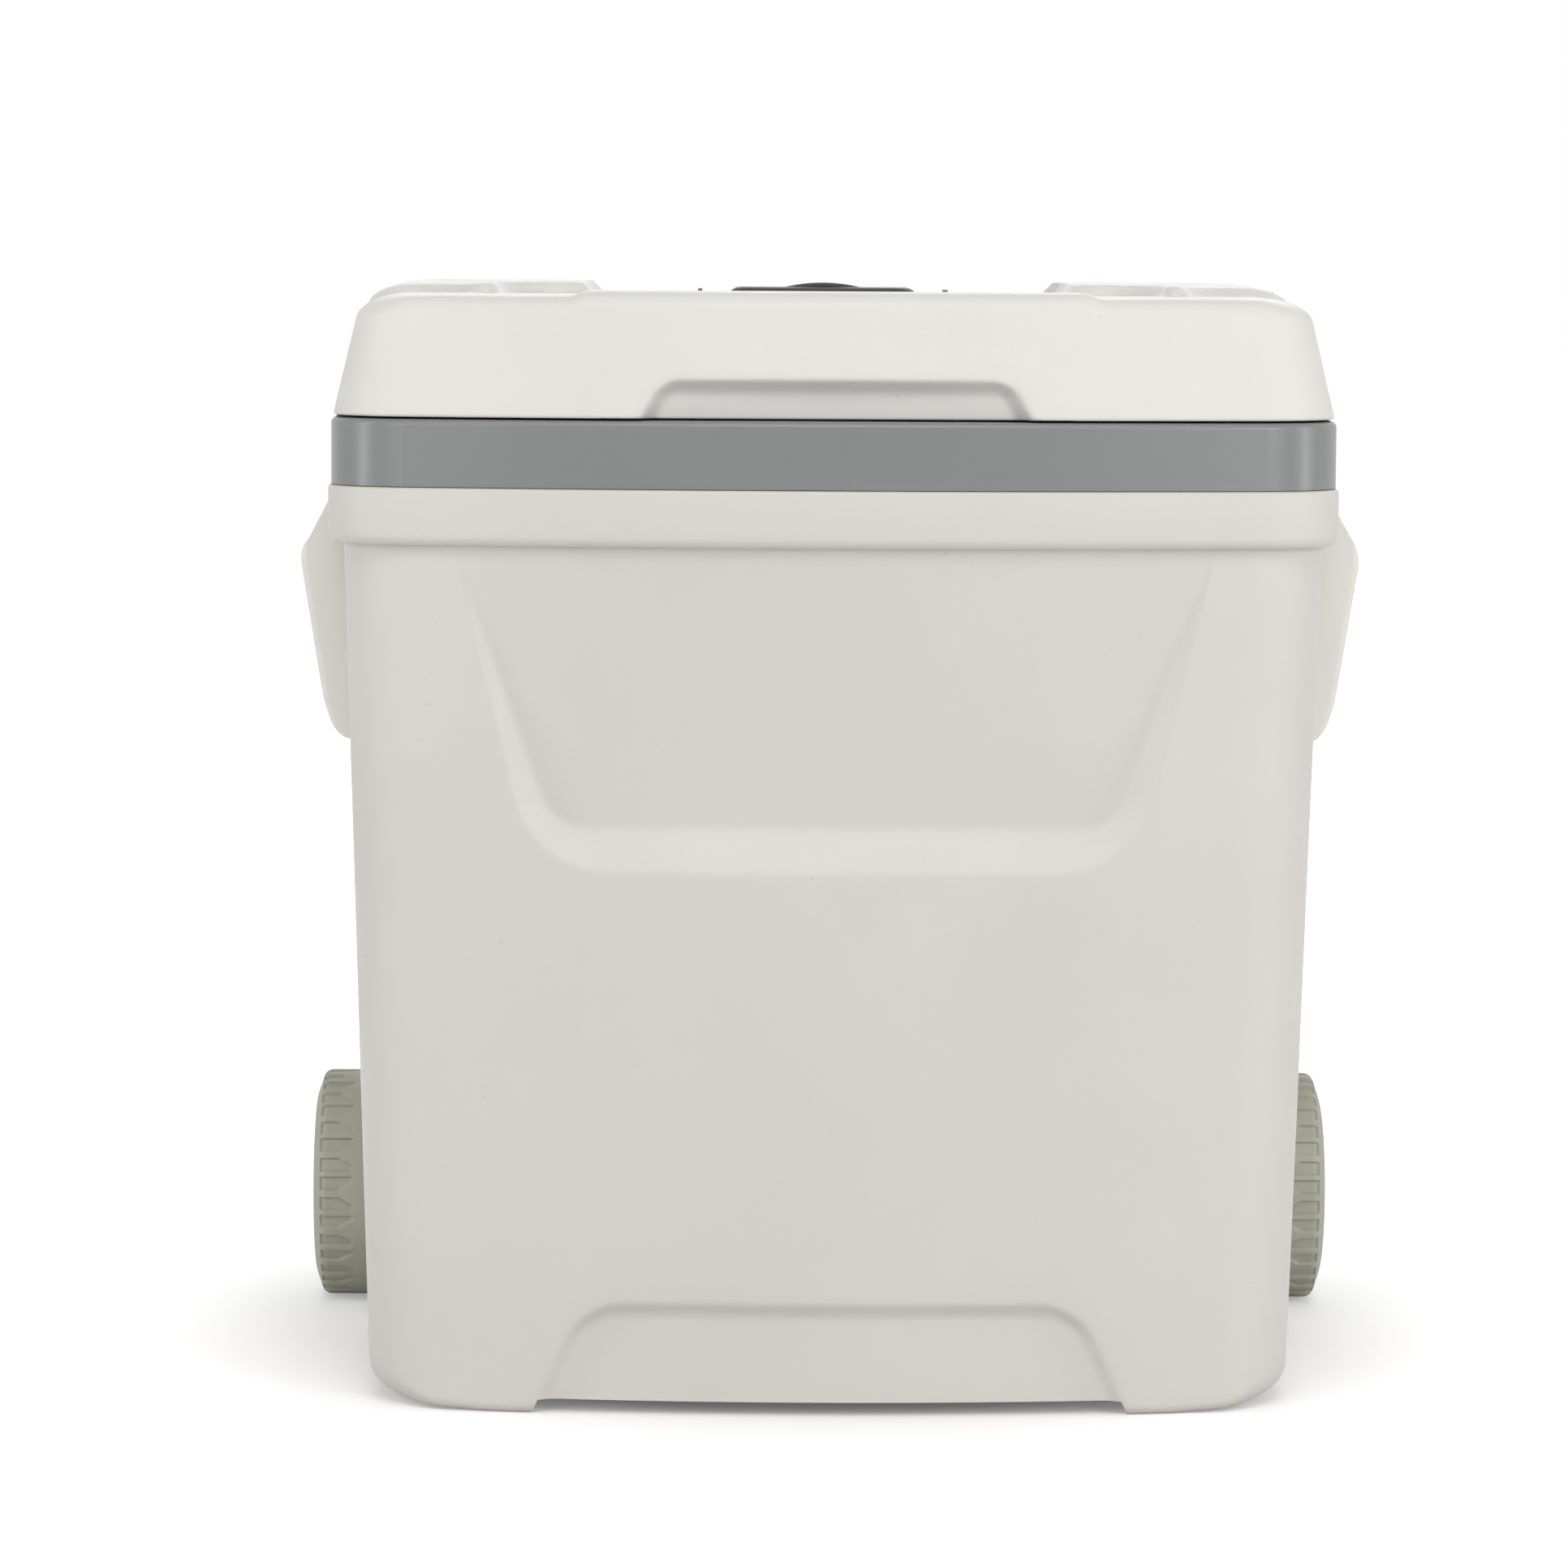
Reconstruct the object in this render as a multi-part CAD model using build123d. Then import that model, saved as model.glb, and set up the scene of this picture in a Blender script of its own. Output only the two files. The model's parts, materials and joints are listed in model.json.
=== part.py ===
"""Cooler on wheels: tub, hinged lid, two wheels and a telescoping tow handle.

Millimetres. +X is the cooler's right seen from the front, -Y its front, +Z up.
The origin is on the ground, midway between the foremost and the rearmost point.
"""
from math import cos, radians, sin, sqrt, tan
import os

from build123d import *

# Tub outside
RIM_HALF = 250.0           # white rim, half of its width
RIM_FRONT = -223.0         # apex of the rim's bowed front
RIM_REAR = 211.0           # flat rear of the rim
RIM_BOTTOM = 425.0         # height of the body below the rim
RIM_HEIGHT = 28.0
RIM_OVERHANG = 7.5         # rim stands this far out from the body below it
FRONT_RADIUS = 1050.0      # bow of the front seen from above
SIDE_BOW = 4.0
FRONT_CORNER = 46.0
REAR_CORNER = 40.0
DRAFT = 1.67               # degrees, front and sides
SHELL_WALL = 3.0
FOOT_HEIGHT = 6.5          # the feet lift the underside by this much
FOOT_GAP_HALF = 146.0      # half of the gap between the two long feet
FOOT_WIDTH = 23.0          # flat part of a foot; outside it the underside slopes up to the corner
FOOT_SLOPE = 3.5           # degrees
BOTTOM_ROUND = 16.0        # underside into the sides
BOTTOM_EDGE = 5.0          # chamfer round the underside

# Tub inside
COLLAR_INSET = 1.5         # grey collar, in from the rim
COLLAR_HEIGHT = 33.0
COLLAR_SEAM = 0.4          # fine line between rim and collar
LINER_WALL = 2.5
WALL_SIDE = 30.0           # outside of the body to the cavity
WALL_FRONT = 32.0
WALL_REAR = 32.0           # handle channel to the cavity
CAVITY_FLOOR = 49.0
CAVITY_CORNER = 32.0
HUMP_LEAD = 43.0           # the step in the cavity floor starts this far ahead of the axle
HUMP_RISE = 34.0           # and lies this far above it
FOAM_GAP = 0.3

# Relief on the front
PANEL_TOP_HALF = 184.0
PANEL_BOTTOM_HALF = 146.0
PANEL_HEIGHT = 157.0       # rim down to the lower end of the bevel
PANEL_BEVEL = 20.5
PANEL_DEPTH = 10.0
PANEL_CORNER = 22.0
ARCH_TOP = 55.0
ARCH_TOP_HALF = 121.0
ARCH_DEPTH = 6.0
ARCH_CORNER = 18.0

# Lid
SEAM_GAP = 1.0             # dark line between collar and lid
LID_HEIGHT = 64.0          # seam to the top of the two rear pads
LID_INSET = 2.3            # in from the rim
LID_SLOPE = 13.2           # degrees, all round
PAD_RISE = 5.5             # pads above the cup places in front of them
LIP_DROP = 3.0             # front lip in the middle, below the pads
VALLEY_DROP = 8.0          # rear end of the middle, below the pads
LID_EDGE_ROUND = 16.0
LID_WALL = 3.0
PAD_INNER = 123.0          # pads start this far from the middle
PAD_FRONT = -60.0
CUP_RADIUS = 33.0
CUP_PLACES = (135.0, 212.0)
FINGER_TOP_HALF = 84.0
FINGER_BOTTOM_HALF = 94.0
FINGER_HEIGHT = 18.2
FINGER_DEPTH = 16.0
FINGER_CORNER = 8.0
PLUG_DEPTH = 12.0          # lid plug below the seam
PLUG_GAP = 6.0             # clear of the mouth all round, more than the swing needs
LAND_WIDTH = 12.0          # lid liner rests this wide round the mouth

# Tow handle at the rear
CHANNEL_HALF = 62.0
LID_NOTCH_LEAD = 20.0      # the lid's rear notch reaches this far ahead of the channel
TUBE_X = 34.0
OUTER_TUBE_RADIUS = 12.0
TUBE_WALL = 1.5
BUSH_WALL = 1.5
TUBE_BACK_GAP = 4.0        # tube to the front of its channel
TUBE_REAR_GAP = 3.5        # tube to the rear of the body
FOOT_SOCKET = 8.0          # floor of the handle's foot below the tubes
FOOT_BLOCK = 24.0
HANDLE_HOLD = 71.0         # stays in the outer tubes when drawn out
GRIP_HALF = 51.5
GRIP_DEPTH = 40.0
GRIP_DROP = 3.2            # grip below the lid's pads
GRIP_HEIGHT = 38.0
GRIP_BASE_HEIGHT = 18.0
GRIP_ROOF = 5.0
GRIP_CORNER = 13.0
BUTTON_HALF = 20.5
BUTTON_DEPTH = 24.0
BUTTON_RISE = 2.4
BUTTON_TRAVEL = 4.5
SPRING_POCKET = 12.0
ROD_RADIUS = 2.5
EAR_WIDTH = 2.4            # thin ears of the guide, either side of the grip
EAR_OUT = 4.5              # their middle, outside the channel
EAR_DROP = 4.2             # their top, below the lid's pads
GUIDE_PLATE = 3.5
LOCK_PIN_RADIUS = 3.0

# Hinges
HINGE_OUT = 30.0           # middle of a hinge, outside the lid's notch
HINGE_HALF = 20.0
HINGE_RISE = 42.0          # pin above the seam
HINGE_BACK = 1.0           # pin behind the rim
KNUCKLE_RADIUS = 6.5
LID_LEAF_BACK = 4.5        # rear of the lid leaf, ahead of the pin
PIN_RADIUS = 2.5
LEAF = 3.0

# Wheels
WHEEL_RADIUS = 61.0
WHEEL_WIDTH = 52.0
WHEEL_REACH = 22.0         # outer face beyond the rim
AXLE_LEAD = 49.0           # axle ahead of the rim's rear
AXLE_RADIUS = 5.0
WELL_GAP = 7.0
WELL_SIDE_GAP = 4.5
TYRE_HEIGHT = 17.0
TYRE_SHOULDER = 5.0
BOSS_RADIUS = 12.0
CAP_RADIUS = 10.0
CLIP_X = 90.0
CLIP_HALF = 15.0
STEP_LEAD = 34.0           # underside is raised from this far ahead of the axle
STEP_DROP = 19.0           # to this far below it

# Side handles
HANDLE_HALF_LENGTH = 75.0
HANDLE_MID_Y = -7.0
HANDLE_OUT = 16.0          # beyond the rim
HANDLE_HEIGHT = 103.0      # below the rim
HANDLE_WALL = 4.5
HANDLE_END = 14.0          # thickness of the two end walls
PEG_RADIUS = 4.0

# Drain, low on the right side
DRAIN_Y = -60.0
DRAIN_RISE = 11.0          # above the cavity floor
DRAIN_BORE = 6.5
DRAIN_TUBE = 9.0
DRAIN_FLANGE = 17.0
DRAIN_HEAD = 15.0
DRAIN_DISH = 24.0
DRAIN_IN = 20.5            # floor of the dish, in from the body's widest

# Fasteners
SCREW_RADIUS = 1.5
SCREW_HEAD = 3.0
SCREW_HEAD_HEIGHT = 1.8

# Fits
RUNNING = 0.06             # radial, pins and shafts
SLIDE = 0.3                # between pieces that move past each other
SEAT = 0.15                # between pieces fixed to each other
FAR = 1000.0               # past everything

# Heights and places that follow
RIM_TOP = RIM_BOTTOM + RIM_HEIGHT
COLLAR_TOP = RIM_TOP + COLLAR_HEIGHT
SEAM = COLLAR_TOP + SEAM_GAP
LID_TOP = SEAM + LID_HEIGHT
LID_FLOOR = LID_TOP - PAD_RISE
LID_MIDDLE = LID_TOP - LIP_DROP
LID_VALLEY = LID_TOP - VALLEY_DROP
PANEL_BOTTOM = RIM_BOTTOM - PANEL_HEIGHT
PANEL_FLOOR_BOTTOM = PANEL_BOTTOM + PANEL_BEVEL
PANEL_SAG = FRONT_RADIUS - sqrt(FRONT_RADIUS**2 - (PANEL_TOP_HALF + PANEL_BOTTOM_HALF)**2 / 4)
BODY_HALF = RIM_HALF - RIM_OVERHANG
BODY_FRONT = RIM_FRONT + RIM_OVERHANG
BODY_REAR = RIM_REAR - RIM_OVERHANG
SLOPE = tan(radians(DRAFT))
AXLE_Y = RIM_REAR - AXLE_LEAD
AXLE_Z = WHEEL_RADIUS
WHEEL_OUTER = RIM_HALF + WHEEL_REACH
WHEEL_INNER = WHEEL_OUTER - WHEEL_WIDTH
WELL_SIDE = WHEEL_INNER - WELL_SIDE_GAP
HUB_RADIUS = WHEEL_RADIUS - TYRE_HEIGHT
HUB_BOSS_OUT = WHEEL_OUTER - 9.5
STEP_Y = AXLE_Y - STEP_LEAD
STEP_Z = AXLE_Z - STEP_DROP
HUMP_FRONT = AXLE_Y - HUMP_LEAD
HUMP_TOP = AXLE_Z + HUMP_RISE
INNER_TUBE_RADIUS = OUTER_TUBE_RADIUS - TUBE_WALL - BUSH_WALL
TUBE_Y = BODY_REAR - TUBE_REAR_GAP - OUTER_TUBE_RADIUS
CHANNEL_FRONT = TUBE_Y - OUTER_TUBE_RADIUS - TUBE_BACK_GAP
CHANNEL_FLOOR = AXLE_Z - 3.0
CAVITY_REAR = CHANNEL_FRONT - WALL_REAR
OUTER_TUBE_LOW = CHANNEL_FLOOR + FOOT_SOCKET
OUTER_TUBE_HIGH = COLLAR_TOP + GUIDE_PLATE + 0.5
LOCK_PIN_Z = OUTER_TUBE_LOW + 13.0
INNER_TUBE_LOW = LOCK_PIN_Z + 13.0
HANDLE_TRAVEL = OUTER_TUBE_HIGH - LOCK_PIN_Z - HANDLE_HOLD
GRIP_HIGH = LID_TOP - GRIP_DROP
GRIP_LOW = GRIP_HIGH - GRIP_HEIGHT
GRIP_SPLIT = GRIP_LOW + GRIP_BASE_HEIGHT
INNER_TUBE_HIGH = GRIP_SPLIT - 1.0
YOKE_LOW = GRIP_HIGH - GRIP_ROOF - 10.0
YOKE_HIGH = YOKE_LOW + 5.25
SPRING_LOW = GRIP_SPLIT - SPRING_POCKET
GUIDE_EAR = CHANNEL_HALF + EAR_OUT
LID_NOTCH_HALF = GUIDE_EAR + 3.5
LID_NOTCH_FRONT = CHANNEL_FRONT - LID_NOTCH_LEAD
HINGE_X = LID_NOTCH_HALF + HINGE_OUT
HINGE_Y = RIM_REAR + HINGE_BACK
HINGE_Z = SEAM + HINGE_RISE
HANDLE_REACH = RIM_HALF + HANDLE_OUT
DRAIN_Z = CAVITY_FLOOR + DRAIN_RISE
DRAIN_FACE = BODY_HALF - DRAIN_IN
WASHER_OUT = DRAIN_FACE + 6.2
PILOT = SCREW_RADIUS + 0.1
CLEARANCE_HOLE = SCREW_RADIUS + 0.3


def block(x0, x1, y0, y1, z0, z1):
    """Box between two corners."""
    return Pos((x0 + x1) / 2, (y0 + y1) / 2, (z0 + z1) / 2) * Box(x1 - x0, y1 - y0, z1 - z0)


def rod_x(x0, x1, y, z, radius):
    """Cylinder along X."""
    return Pos((x0 + x1) / 2, y, z) * Rot(0, 90, 0) * Cylinder(radius, x1 - x0)


def rod_y(y0, y1, x, z, radius):
    """Cylinder along Y."""
    return Pos(x, (y0 + y1) / 2, z) * Rot(90, 0, 0) * Cylinder(radius, y1 - y0)


def rod_z(z0, z1, x, y, radius):
    """Cylinder along Z."""
    return Pos(x, y, (z0 + z1) / 2) * Cylinder(radius, z1 - z0)


def mirrored(shape):
    """The same shape on the cooler's left."""
    return shape.mirror(Plane.YZ)


def plan(half, front, rear, front_corner, rear_corner, z):
    """Outline seen from above: bowed front, slightly bowed sides, flat rear, rounded corners."""
    side = half - SIDE_BOW
    shoulder = front + FRONT_RADIUS - sqrt(FRONT_RADIUS**2 - side**2)
    middle = (shoulder + rear) / 2
    face = make_face([
        ThreePointArc((-side, shoulder), (0, front), (side, shoulder)),
        ThreePointArc((side, shoulder), (half, middle), (side, rear)),
        Line((side, rear), (-side, rear)),
        ThreePointArc((-side, rear), (-half, middle), (-side, shoulder)),
    ])
    face = fillet(face.vertices().group_by(Axis.Y)[-1], rear_corner)
    face = fillet(face.vertices().group_by(Axis.Y)[0], front_corner)
    return Pos(0, 0, z) * face


def body_plan(z, inset=0.0):
    """Outline of the drafted body at a height, moved in by an inset."""
    drop = (RIM_BOTTOM - z) * SLOPE
    return plan(BODY_HALF - drop - inset, BODY_FRONT + drop + inset, BODY_REAR - inset,
                FRONT_CORNER - inset, REAR_CORNER - inset, z)


def body_block(low, high, inset=0.0):
    """Drafted body between two heights."""
    return loft([body_plan(low, inset), body_plan(high, inset)], ruled=True)


def rim_block(low, high, inset=0.0):
    """Straight block with the rim's outline."""
    outline = plan(RIM_HALF - inset, RIM_FRONT + inset, RIM_REAR - inset,
                   FRONT_CORNER + 2 - inset, REAR_CORNER + 2 - inset, low)
    return extrude(outline, high - low)


def tub_plan(z, grow=0.0):
    """Outline of the cavity at a height, moved out by a growth."""
    drop = (COLLAR_TOP - z) * SLOPE
    return plan(BODY_HALF - WALL_SIDE - drop + grow, BODY_FRONT + WALL_FRONT + drop - grow,
                CAVITY_REAR + grow, CAVITY_CORNER + grow, CAVITY_CORNER + grow, z)


def tub_block(low, high, grow=0.0):
    """Cavity between two heights, less the step over the axle."""
    cavity = loft([tub_plan(low, grow), tub_plan(high, grow)], ruled=True)
    return cavity - block(-FAR, FAR, HUMP_FRONT + grow, FAR, -FAR, HUMP_TOP - grow)


def lid_plan(z, inset=0.0):
    """Outline of the sloping lid at a height, moved in by an inset."""
    back = (z - SEAM) * tan(radians(LID_SLOPE)) + LID_INSET + inset
    return plan(RIM_HALF - back, RIM_FRONT + back, RIM_REAR - back,
                FRONT_CORNER - inset, REAR_CORNER - inset, z)


def lid_block(low, high, inset=0.0):
    """Sloping lid between two heights."""
    return loft([lid_plan(low, inset), lid_plan(high, inset)], ruled=True)


def trapezoid(low_half, low, high_half, high, y0, y1, grow=0.0, corner=0.0):
    """Upright trapezoid seen from the front, run along Y."""
    face = make_face(Polyline((-low_half - grow, low - grow), (low_half + grow, low - grow),
                              (high_half + grow, high + grow), (-high_half - grow, high + grow), close=True))
    if corner:
        ends = face.vertices().group_by(Axis.Y)
        face = fillet(ends[0] if low_half < high_half else ends[-1], corner)
    return Pos(0, y1, 0) * Rot(90, 0, 0) * extrude(face, y1 - y0)


def panel_frame(y, grow):
    """Rounded trapezoid of the front panel at Y; it narrows with depth, which makes the side bevels."""
    narrow = y - (BODY_FRONT + PANEL_SAG)
    low, high = PANEL_BOTTOM_HALF - narrow + grow, PANEL_TOP_HALF - narrow + grow
    bottom, top = PANEL_BOTTOM - 3 - grow, RIM_BOTTOM - 1 + grow
    face = make_face(Polyline((-low, bottom), (low, bottom), (high, top), (-high, top), close=True))
    face = fillet(face.vertices().group_by(Axis.Y)[0], PANEL_CORNER)
    return Pos(0, y, 0) * Rot(90, 0, 0) * face


def front_panel(grow=0.0):
    """Recess that deepens from nothing under the rim to its full depth above the lower bevel."""
    rise = PANEL_FLOOR_BOTTOM - PANEL_BOTTOM
    floor = body_plan(PANEL_FLOOR_BOTTOM, PANEL_DEPTH + grow)
    core = loft([body_plan(PANEL_BOTTOM - rise, grow - PANEL_DEPTH), floor], ruled=True)
    core += loft([floor, body_plan(RIM_BOTTOM + 20, grow)], ruled=True)
    return loft([panel_frame(BODY_FRONT - 6, grow), panel_frame(BODY_FRONT + 40, grow)], ruled=True) - core


def front_arch(grow=0.0):
    """Shallow arch between the two feet."""
    core = body_block(-20, ARCH_TOP + 20, ARCH_DEPTH + grow)
    frame = trapezoid(FOOT_GAP_HALF, -10, ARCH_TOP_HALF, ARCH_TOP, BODY_FRONT - 30, BODY_FRONT + 120, grow,
                      ARCH_CORNER)
    return frame - core


def wheel_wells(grow=0.0):
    """Round pockets beside both wheels."""
    radius = WHEEL_RADIUS + WELL_GAP + grow
    well = rod_x(WELL_SIDE - grow, FAR, AXLE_Y, AXLE_Z, radius)
    well += block(WELL_SIDE - grow, FAR, AXLE_Y, FAR, -FAR, AXLE_Z + radius)
    return well + mirrored(well)


def axle_slot(grow=0.0):
    """Slot across the raised underside, round at the top where the axle bears."""
    half = AXLE_RADIUS + RUNNING + grow
    return block(-FAR, FAR, AXLE_Y - half, AXLE_Y + half, -FAR, AXLE_Z) + rod_x(-FAR, FAR, AXLE_Y, AXLE_Z, half)


def handle_channel(grow=0.0):
    """Upright channel in the rear for the tow handle."""
    half = CHANNEL_HALF + grow
    return block(-half, half, CHANNEL_FRONT - grow, FAR, CHANNEL_FLOOR - grow, FAR)


def underside(grow=0.0):
    """Gap between the feet and the raised rear."""
    gap = block(-FOOT_GAP_HALF, FOOT_GAP_HALF, -FAR, FAR, -FAR, FOOT_HEIGHT + grow)
    return gap + block(-FAR, FAR, STEP_Y - grow, FAR, -FAR, STEP_Z + grow)


def foot_slopes(grow=0.0):
    """Outside of both feet: the underside rises towards the corners and turns up into the sides."""
    start, side, slant = FOOT_GAP_HALF + FOOT_WIDTH, BODY_HALF - RIM_BOTTOM * SLOPE - grow, tan(radians(FOOT_SLOPE))
    rise = ((side - start) * slant + grow) / (1 - SLOPE * slant)
    corner, out, high = (side + rise * SLOPE, rise), RIM_HALF + 2 * BOTTOM_ROUND, 4 * BOTTOM_ROUND
    face = make_face(Polyline((start, grow), corner, (side + high * SLOPE, high), (out, high), (out, -high),
                              (start, -high), close=True))
    face = fillet(face.vertices().sort_by_distance((*corner, 0))[0], BOTTOM_ROUND - grow)
    wedge = Pos(0, FAR, 0) * Rot(90, 0, 0) * extrude(face, 2 * FAR)
    return [wedge, mirrored(wedge)]


def drain_dish(grow=0.0):
    """Round dish on the right that keeps the drain inside the outline."""
    return rod_x(DRAIN_FACE - grow, FAR, DRAIN_Y, DRAIN_Z, DRAIN_DISH + grow)


def outside_cuts(grow=0.0):
    """Everything taken out of the tub from outside; grown, the same keeps the wall thick behind it."""
    return [front_panel(grow), front_arch(grow), wheel_wells(grow), axle_slot(grow), handle_channel(grow),
            underside(grow), drain_dish(grow)]


def less(shape, cuts):
    """Shape with each cut taken out in turn."""
    for cut in cuts:
        shape = shape - cut
    return shape


def tub_hollow(gap=0.0):
    """Space between shell and cavity, up to the collar's top land."""
    wall = SHELL_WALL + gap
    space = body_block(FOOT_HEIGHT + wall, RIM_TOP, wall) + rim_block(RIM_BOTTOM + wall, RIM_TOP + SEAT, wall)
    space += rim_block(RIM_TOP, COLLAR_TOP - SHELL_WALL - gap, COLLAR_INSET + wall)
    return less(space, outside_cuts(wall) + foot_slopes(wall))


def handle_pegs(grow=0.0):
    """Two pegs that hold the right side handle to the shell."""
    reach, height = HANDLE_HALF_LENGTH - HANDLE_END / 2, RIM_BOTTOM - 0.68 * HANDLE_HEIGHT
    pegs = [rod_x(BODY_HALF - 8.5, RIM_HALF, HANDLE_MID_Y + side * reach, height, PEG_RADIUS + grow)
            for side in (-1, 1)]
    return pegs[0] + pegs[1]


def bracket_screw_places():
    """Screws of the tow handle's upper guide and lower foot."""
    return [(x, z) for z in (CHANNEL_FLOOR + FOOT_BLOCK / 2, RIM_TOP + COLLAR_HEIGHT / 2)
            for x in (-0.4 * TUBE_X, 0.4 * TUBE_X)]


def hinge_screw_places():
    """Screws of the hinges' body leaves."""
    return [(side * HINGE_X + dx, RIM_BOTTOM + RIM_HEIGHT / 2) for side in (-1, 1)
            for dx in (-HINGE_HALF / 2, HINGE_HALF / 2)]


def clip_screw_places():
    """Screws of the axle clips, in X and Y."""
    return [(x, y) for x in (-CLIP_X, CLIP_X) for y in (AXLE_Y - AXLE_RADIUS - 8, AXLE_Y + AXLE_RADIUS + 8)]


def screw_holes(grow=0.0):
    """Pilot holes in the shell and the clear space that the foam leaves behind them."""
    radius = PILOT + grow
    holes = [rod_y(CHANNEL_FRONT - 12 - grow, CHANNEL_FRONT + 5, x, z, radius)
             for x, z in bracket_screw_places()]
    holes += [rod_y(RIM_REAR - 14 - grow, RIM_REAR + 5, x, z, radius) for x, z in hinge_screw_places()]
    holes += [rod_z(STEP_Z - 5, STEP_Z + 10 + grow, x, y, radius) for x, y in clip_screw_places()]
    return holes


def drain_hole(grow):
    """Way for the drain fitting through shell, foam and liner."""
    return rod_x(BODY_HALF - 2 * WALL_SIDE, FAR, DRAIN_Y, DRAIN_Z, DRAIN_TUBE + grow)


def outer_shell():
    """White outer moulding."""
    body = body_block(BOTTOM_EDGE, RIM_TOP)
    body += loft([body_plan(0, BOTTOM_EDGE), body_plan(BOTTOM_EDGE)], ruled=True)
    body = less(body, foot_slopes())
    rim = rim_block(RIM_BOTTOM, RIM_TOP)
    rim = fillet(rim.faces().sort_by(Axis.Z)[0].edges(), 5.5)
    rim = fillet(rim.faces().sort_by(Axis.Z)[-1].edges(), 2.0)
    shell = less(body + rim, outside_cuts())
    shell = less(shell - tub_hollow(), screw_holes())
    pegs = handle_pegs(SEAT)
    return shell - pegs - mirrored(pegs) - drain_hole(SEAT)


def inner_liner():
    """Grey liner: cavity, top land and the collar band that shows between shell and lid."""
    collar = rim_block(RIM_TOP + COLLAR_SEAM, COLLAR_TOP, COLLAR_INSET)
    collar = fillet(collar.faces().sort_by(Axis.Z)[-1].edges(), 3.0)
    collar -= handle_channel()
    inside = rim_block(RIM_TOP, COLLAR_TOP - SHELL_WALL, COLLAR_INSET + SHELL_WALL) - handle_channel(SHELL_WALL)
    tub = tub_block(CAVITY_FLOOR - LINER_WALL, COLLAR_TOP, LINER_WALL)
    liner = (collar - inside) + tub
    liner -= tub_block(CAVITY_FLOOR, COLLAR_TOP + 1)
    return less(liner - drain_hole(SEAT), screw_holes(SEAT))


def body_foam():
    """Insulation poured between shell and liner."""
    foam = tub_hollow(FOAM_GAP) - tub_block(CAVITY_FLOOR - LINER_WALL - FOAM_GAP, COLLAR_TOP,
                                            LINER_WALL + FOAM_GAP)
    pegs = handle_pegs(1.0)
    return less(foam - pegs - mirrored(pegs) - drain_hole(0.5), screw_holes(1.0))


def side_handle():
    """Moulded lift handle on the right: fingers reach up into it from below."""
    low, high = RIM_BOTTOM - HANDLE_HEIGHT, RIM_BOTTOM + 0.68 * RIM_HEIGHT
    deep, brow, knee = RIM_HALF - 25, RIM_BOTTOM - 12, low + 20
    face = make_face(Polyline((deep, low), (RIM_HALF - 6, low), (RIM_HALF, low + 6), (RIM_HALF + 4.5, knee),
                              (HANDLE_REACH, brow), (HANDLE_REACH - 1.5, RIM_BOTTOM - 5),
                              (RIM_HALF + 0.6, high), (deep, high), close=True))
    hull = Pos(0, HANDLE_MID_Y + HANDLE_HALF_LENGTH, 0) * Rot(90, 0, 0) * extrude(face, 2 * HANDLE_HALF_LENGTH)
    ends = [edge for edge in hull.edges() if edge.center().X > RIM_HALF + 2
            and abs(abs(edge.center().Y - HANDLE_MID_Y) - HANDLE_HALF_LENGTH) < 0.1]
    hull = fillet(ends, 5.0)
    mouth, lip = RIM_HALF + 4.5 - HANDLE_WALL, RIM_BOTTOM - 6
    scoop = make_face(Polyline((deep, low - 20), (mouth, low - 20), (mouth, knee),
                               (HANDLE_REACH - HANDLE_WALL, brow), (HANDLE_REACH - 2 * HANDLE_WALL, lip),
                               (deep, lip), close=True))
    reach = HANDLE_HALF_LENGTH - HANDLE_END
    hull -= Pos(0, HANDLE_MID_Y + reach, 0) * Rot(90, 0, 0) * extrude(scoop, 2 * reach)
    hull -= body_block(low - 10, RIM_TOP, -SEAT) + rim_block(RIM_BOTTOM - SEAT, RIM_TOP, -SEAT)
    return hull + handle_pegs()


def lid_notch(grow=0.0):
    """Opening in the lid's rear that the tow handle stands in."""
    return block(-LID_NOTCH_HALF - grow, LID_NOTCH_HALF + grow, LID_NOTCH_FRONT - grow, FAR, 0, FAR)


def finger_notch(grow=0.0):
    """Pull recess in the lower front edge of the lid."""
    deep = RIM_FRONT + LID_INSET + FINGER_DEPTH + grow
    return trapezoid(FINGER_BOTTOM_HALF, SEAM - 10, FINGER_TOP_HALF, SEAM + FINGER_HEIGHT, RIM_FRONT - 30, deep,
                     grow, FINGER_CORNER)


def lid_relief():
    """Cup places at both sides and the middle that falls to the rear."""
    cuts = []
    for side in (-1, 1):
        inner, outer = sorted((side * PAD_INNER, side * FAR))
        cuts.append(block(inner, outer, -FAR, PAD_FRONT, LID_FLOOR, FAR))
        cuts += [rod_z(LID_FLOOR, FAR, side * x, PAD_FRONT, CUP_RADIUS) for x in CUP_PLACES]
    fall = make_face(Polyline((-FAR, LID_MIDDLE), (RIM_FRONT + 73, LID_MIDDLE), (RIM_REAR + 89, LID_VALLEY),
                              (FAR, LID_VALLEY), (FAR, FAR), (-FAR, FAR), close=True))
    return cuts + [Pos(-PAD_INNER, 0, 0) * extrude(Plane.YZ * fall, 2 * PAD_INNER)]


def lid_hollow(gap=0.0):
    """Space inside the lid shell."""
    wall = LID_WALL + gap
    space = lid_block(SEAM - 2 if not gap else SEAM + LINER_WALL + gap, LID_VALLEY - wall, wall)
    pads = lid_block(SEAM + 20, LID_TOP - wall, wall + 4)
    for side in (-1, 1):
        inner, outer = sorted((side * (PAD_INNER + wall), side * FAR))
        space += pads & block(inner, outer, PAD_FRONT + CUP_RADIUS + wall, FAR, SEAM + 20, FAR)
    return space - lid_notch(wall) - finger_notch(wall)


def lid_leaf_screw_places():
    """Screws of the hinges' lid leaves."""
    return [(side * HINGE_X + dx, HINGE_Z - 17) for side in (-1, 1) for dx in (-12.0, 12.0)]


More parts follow.
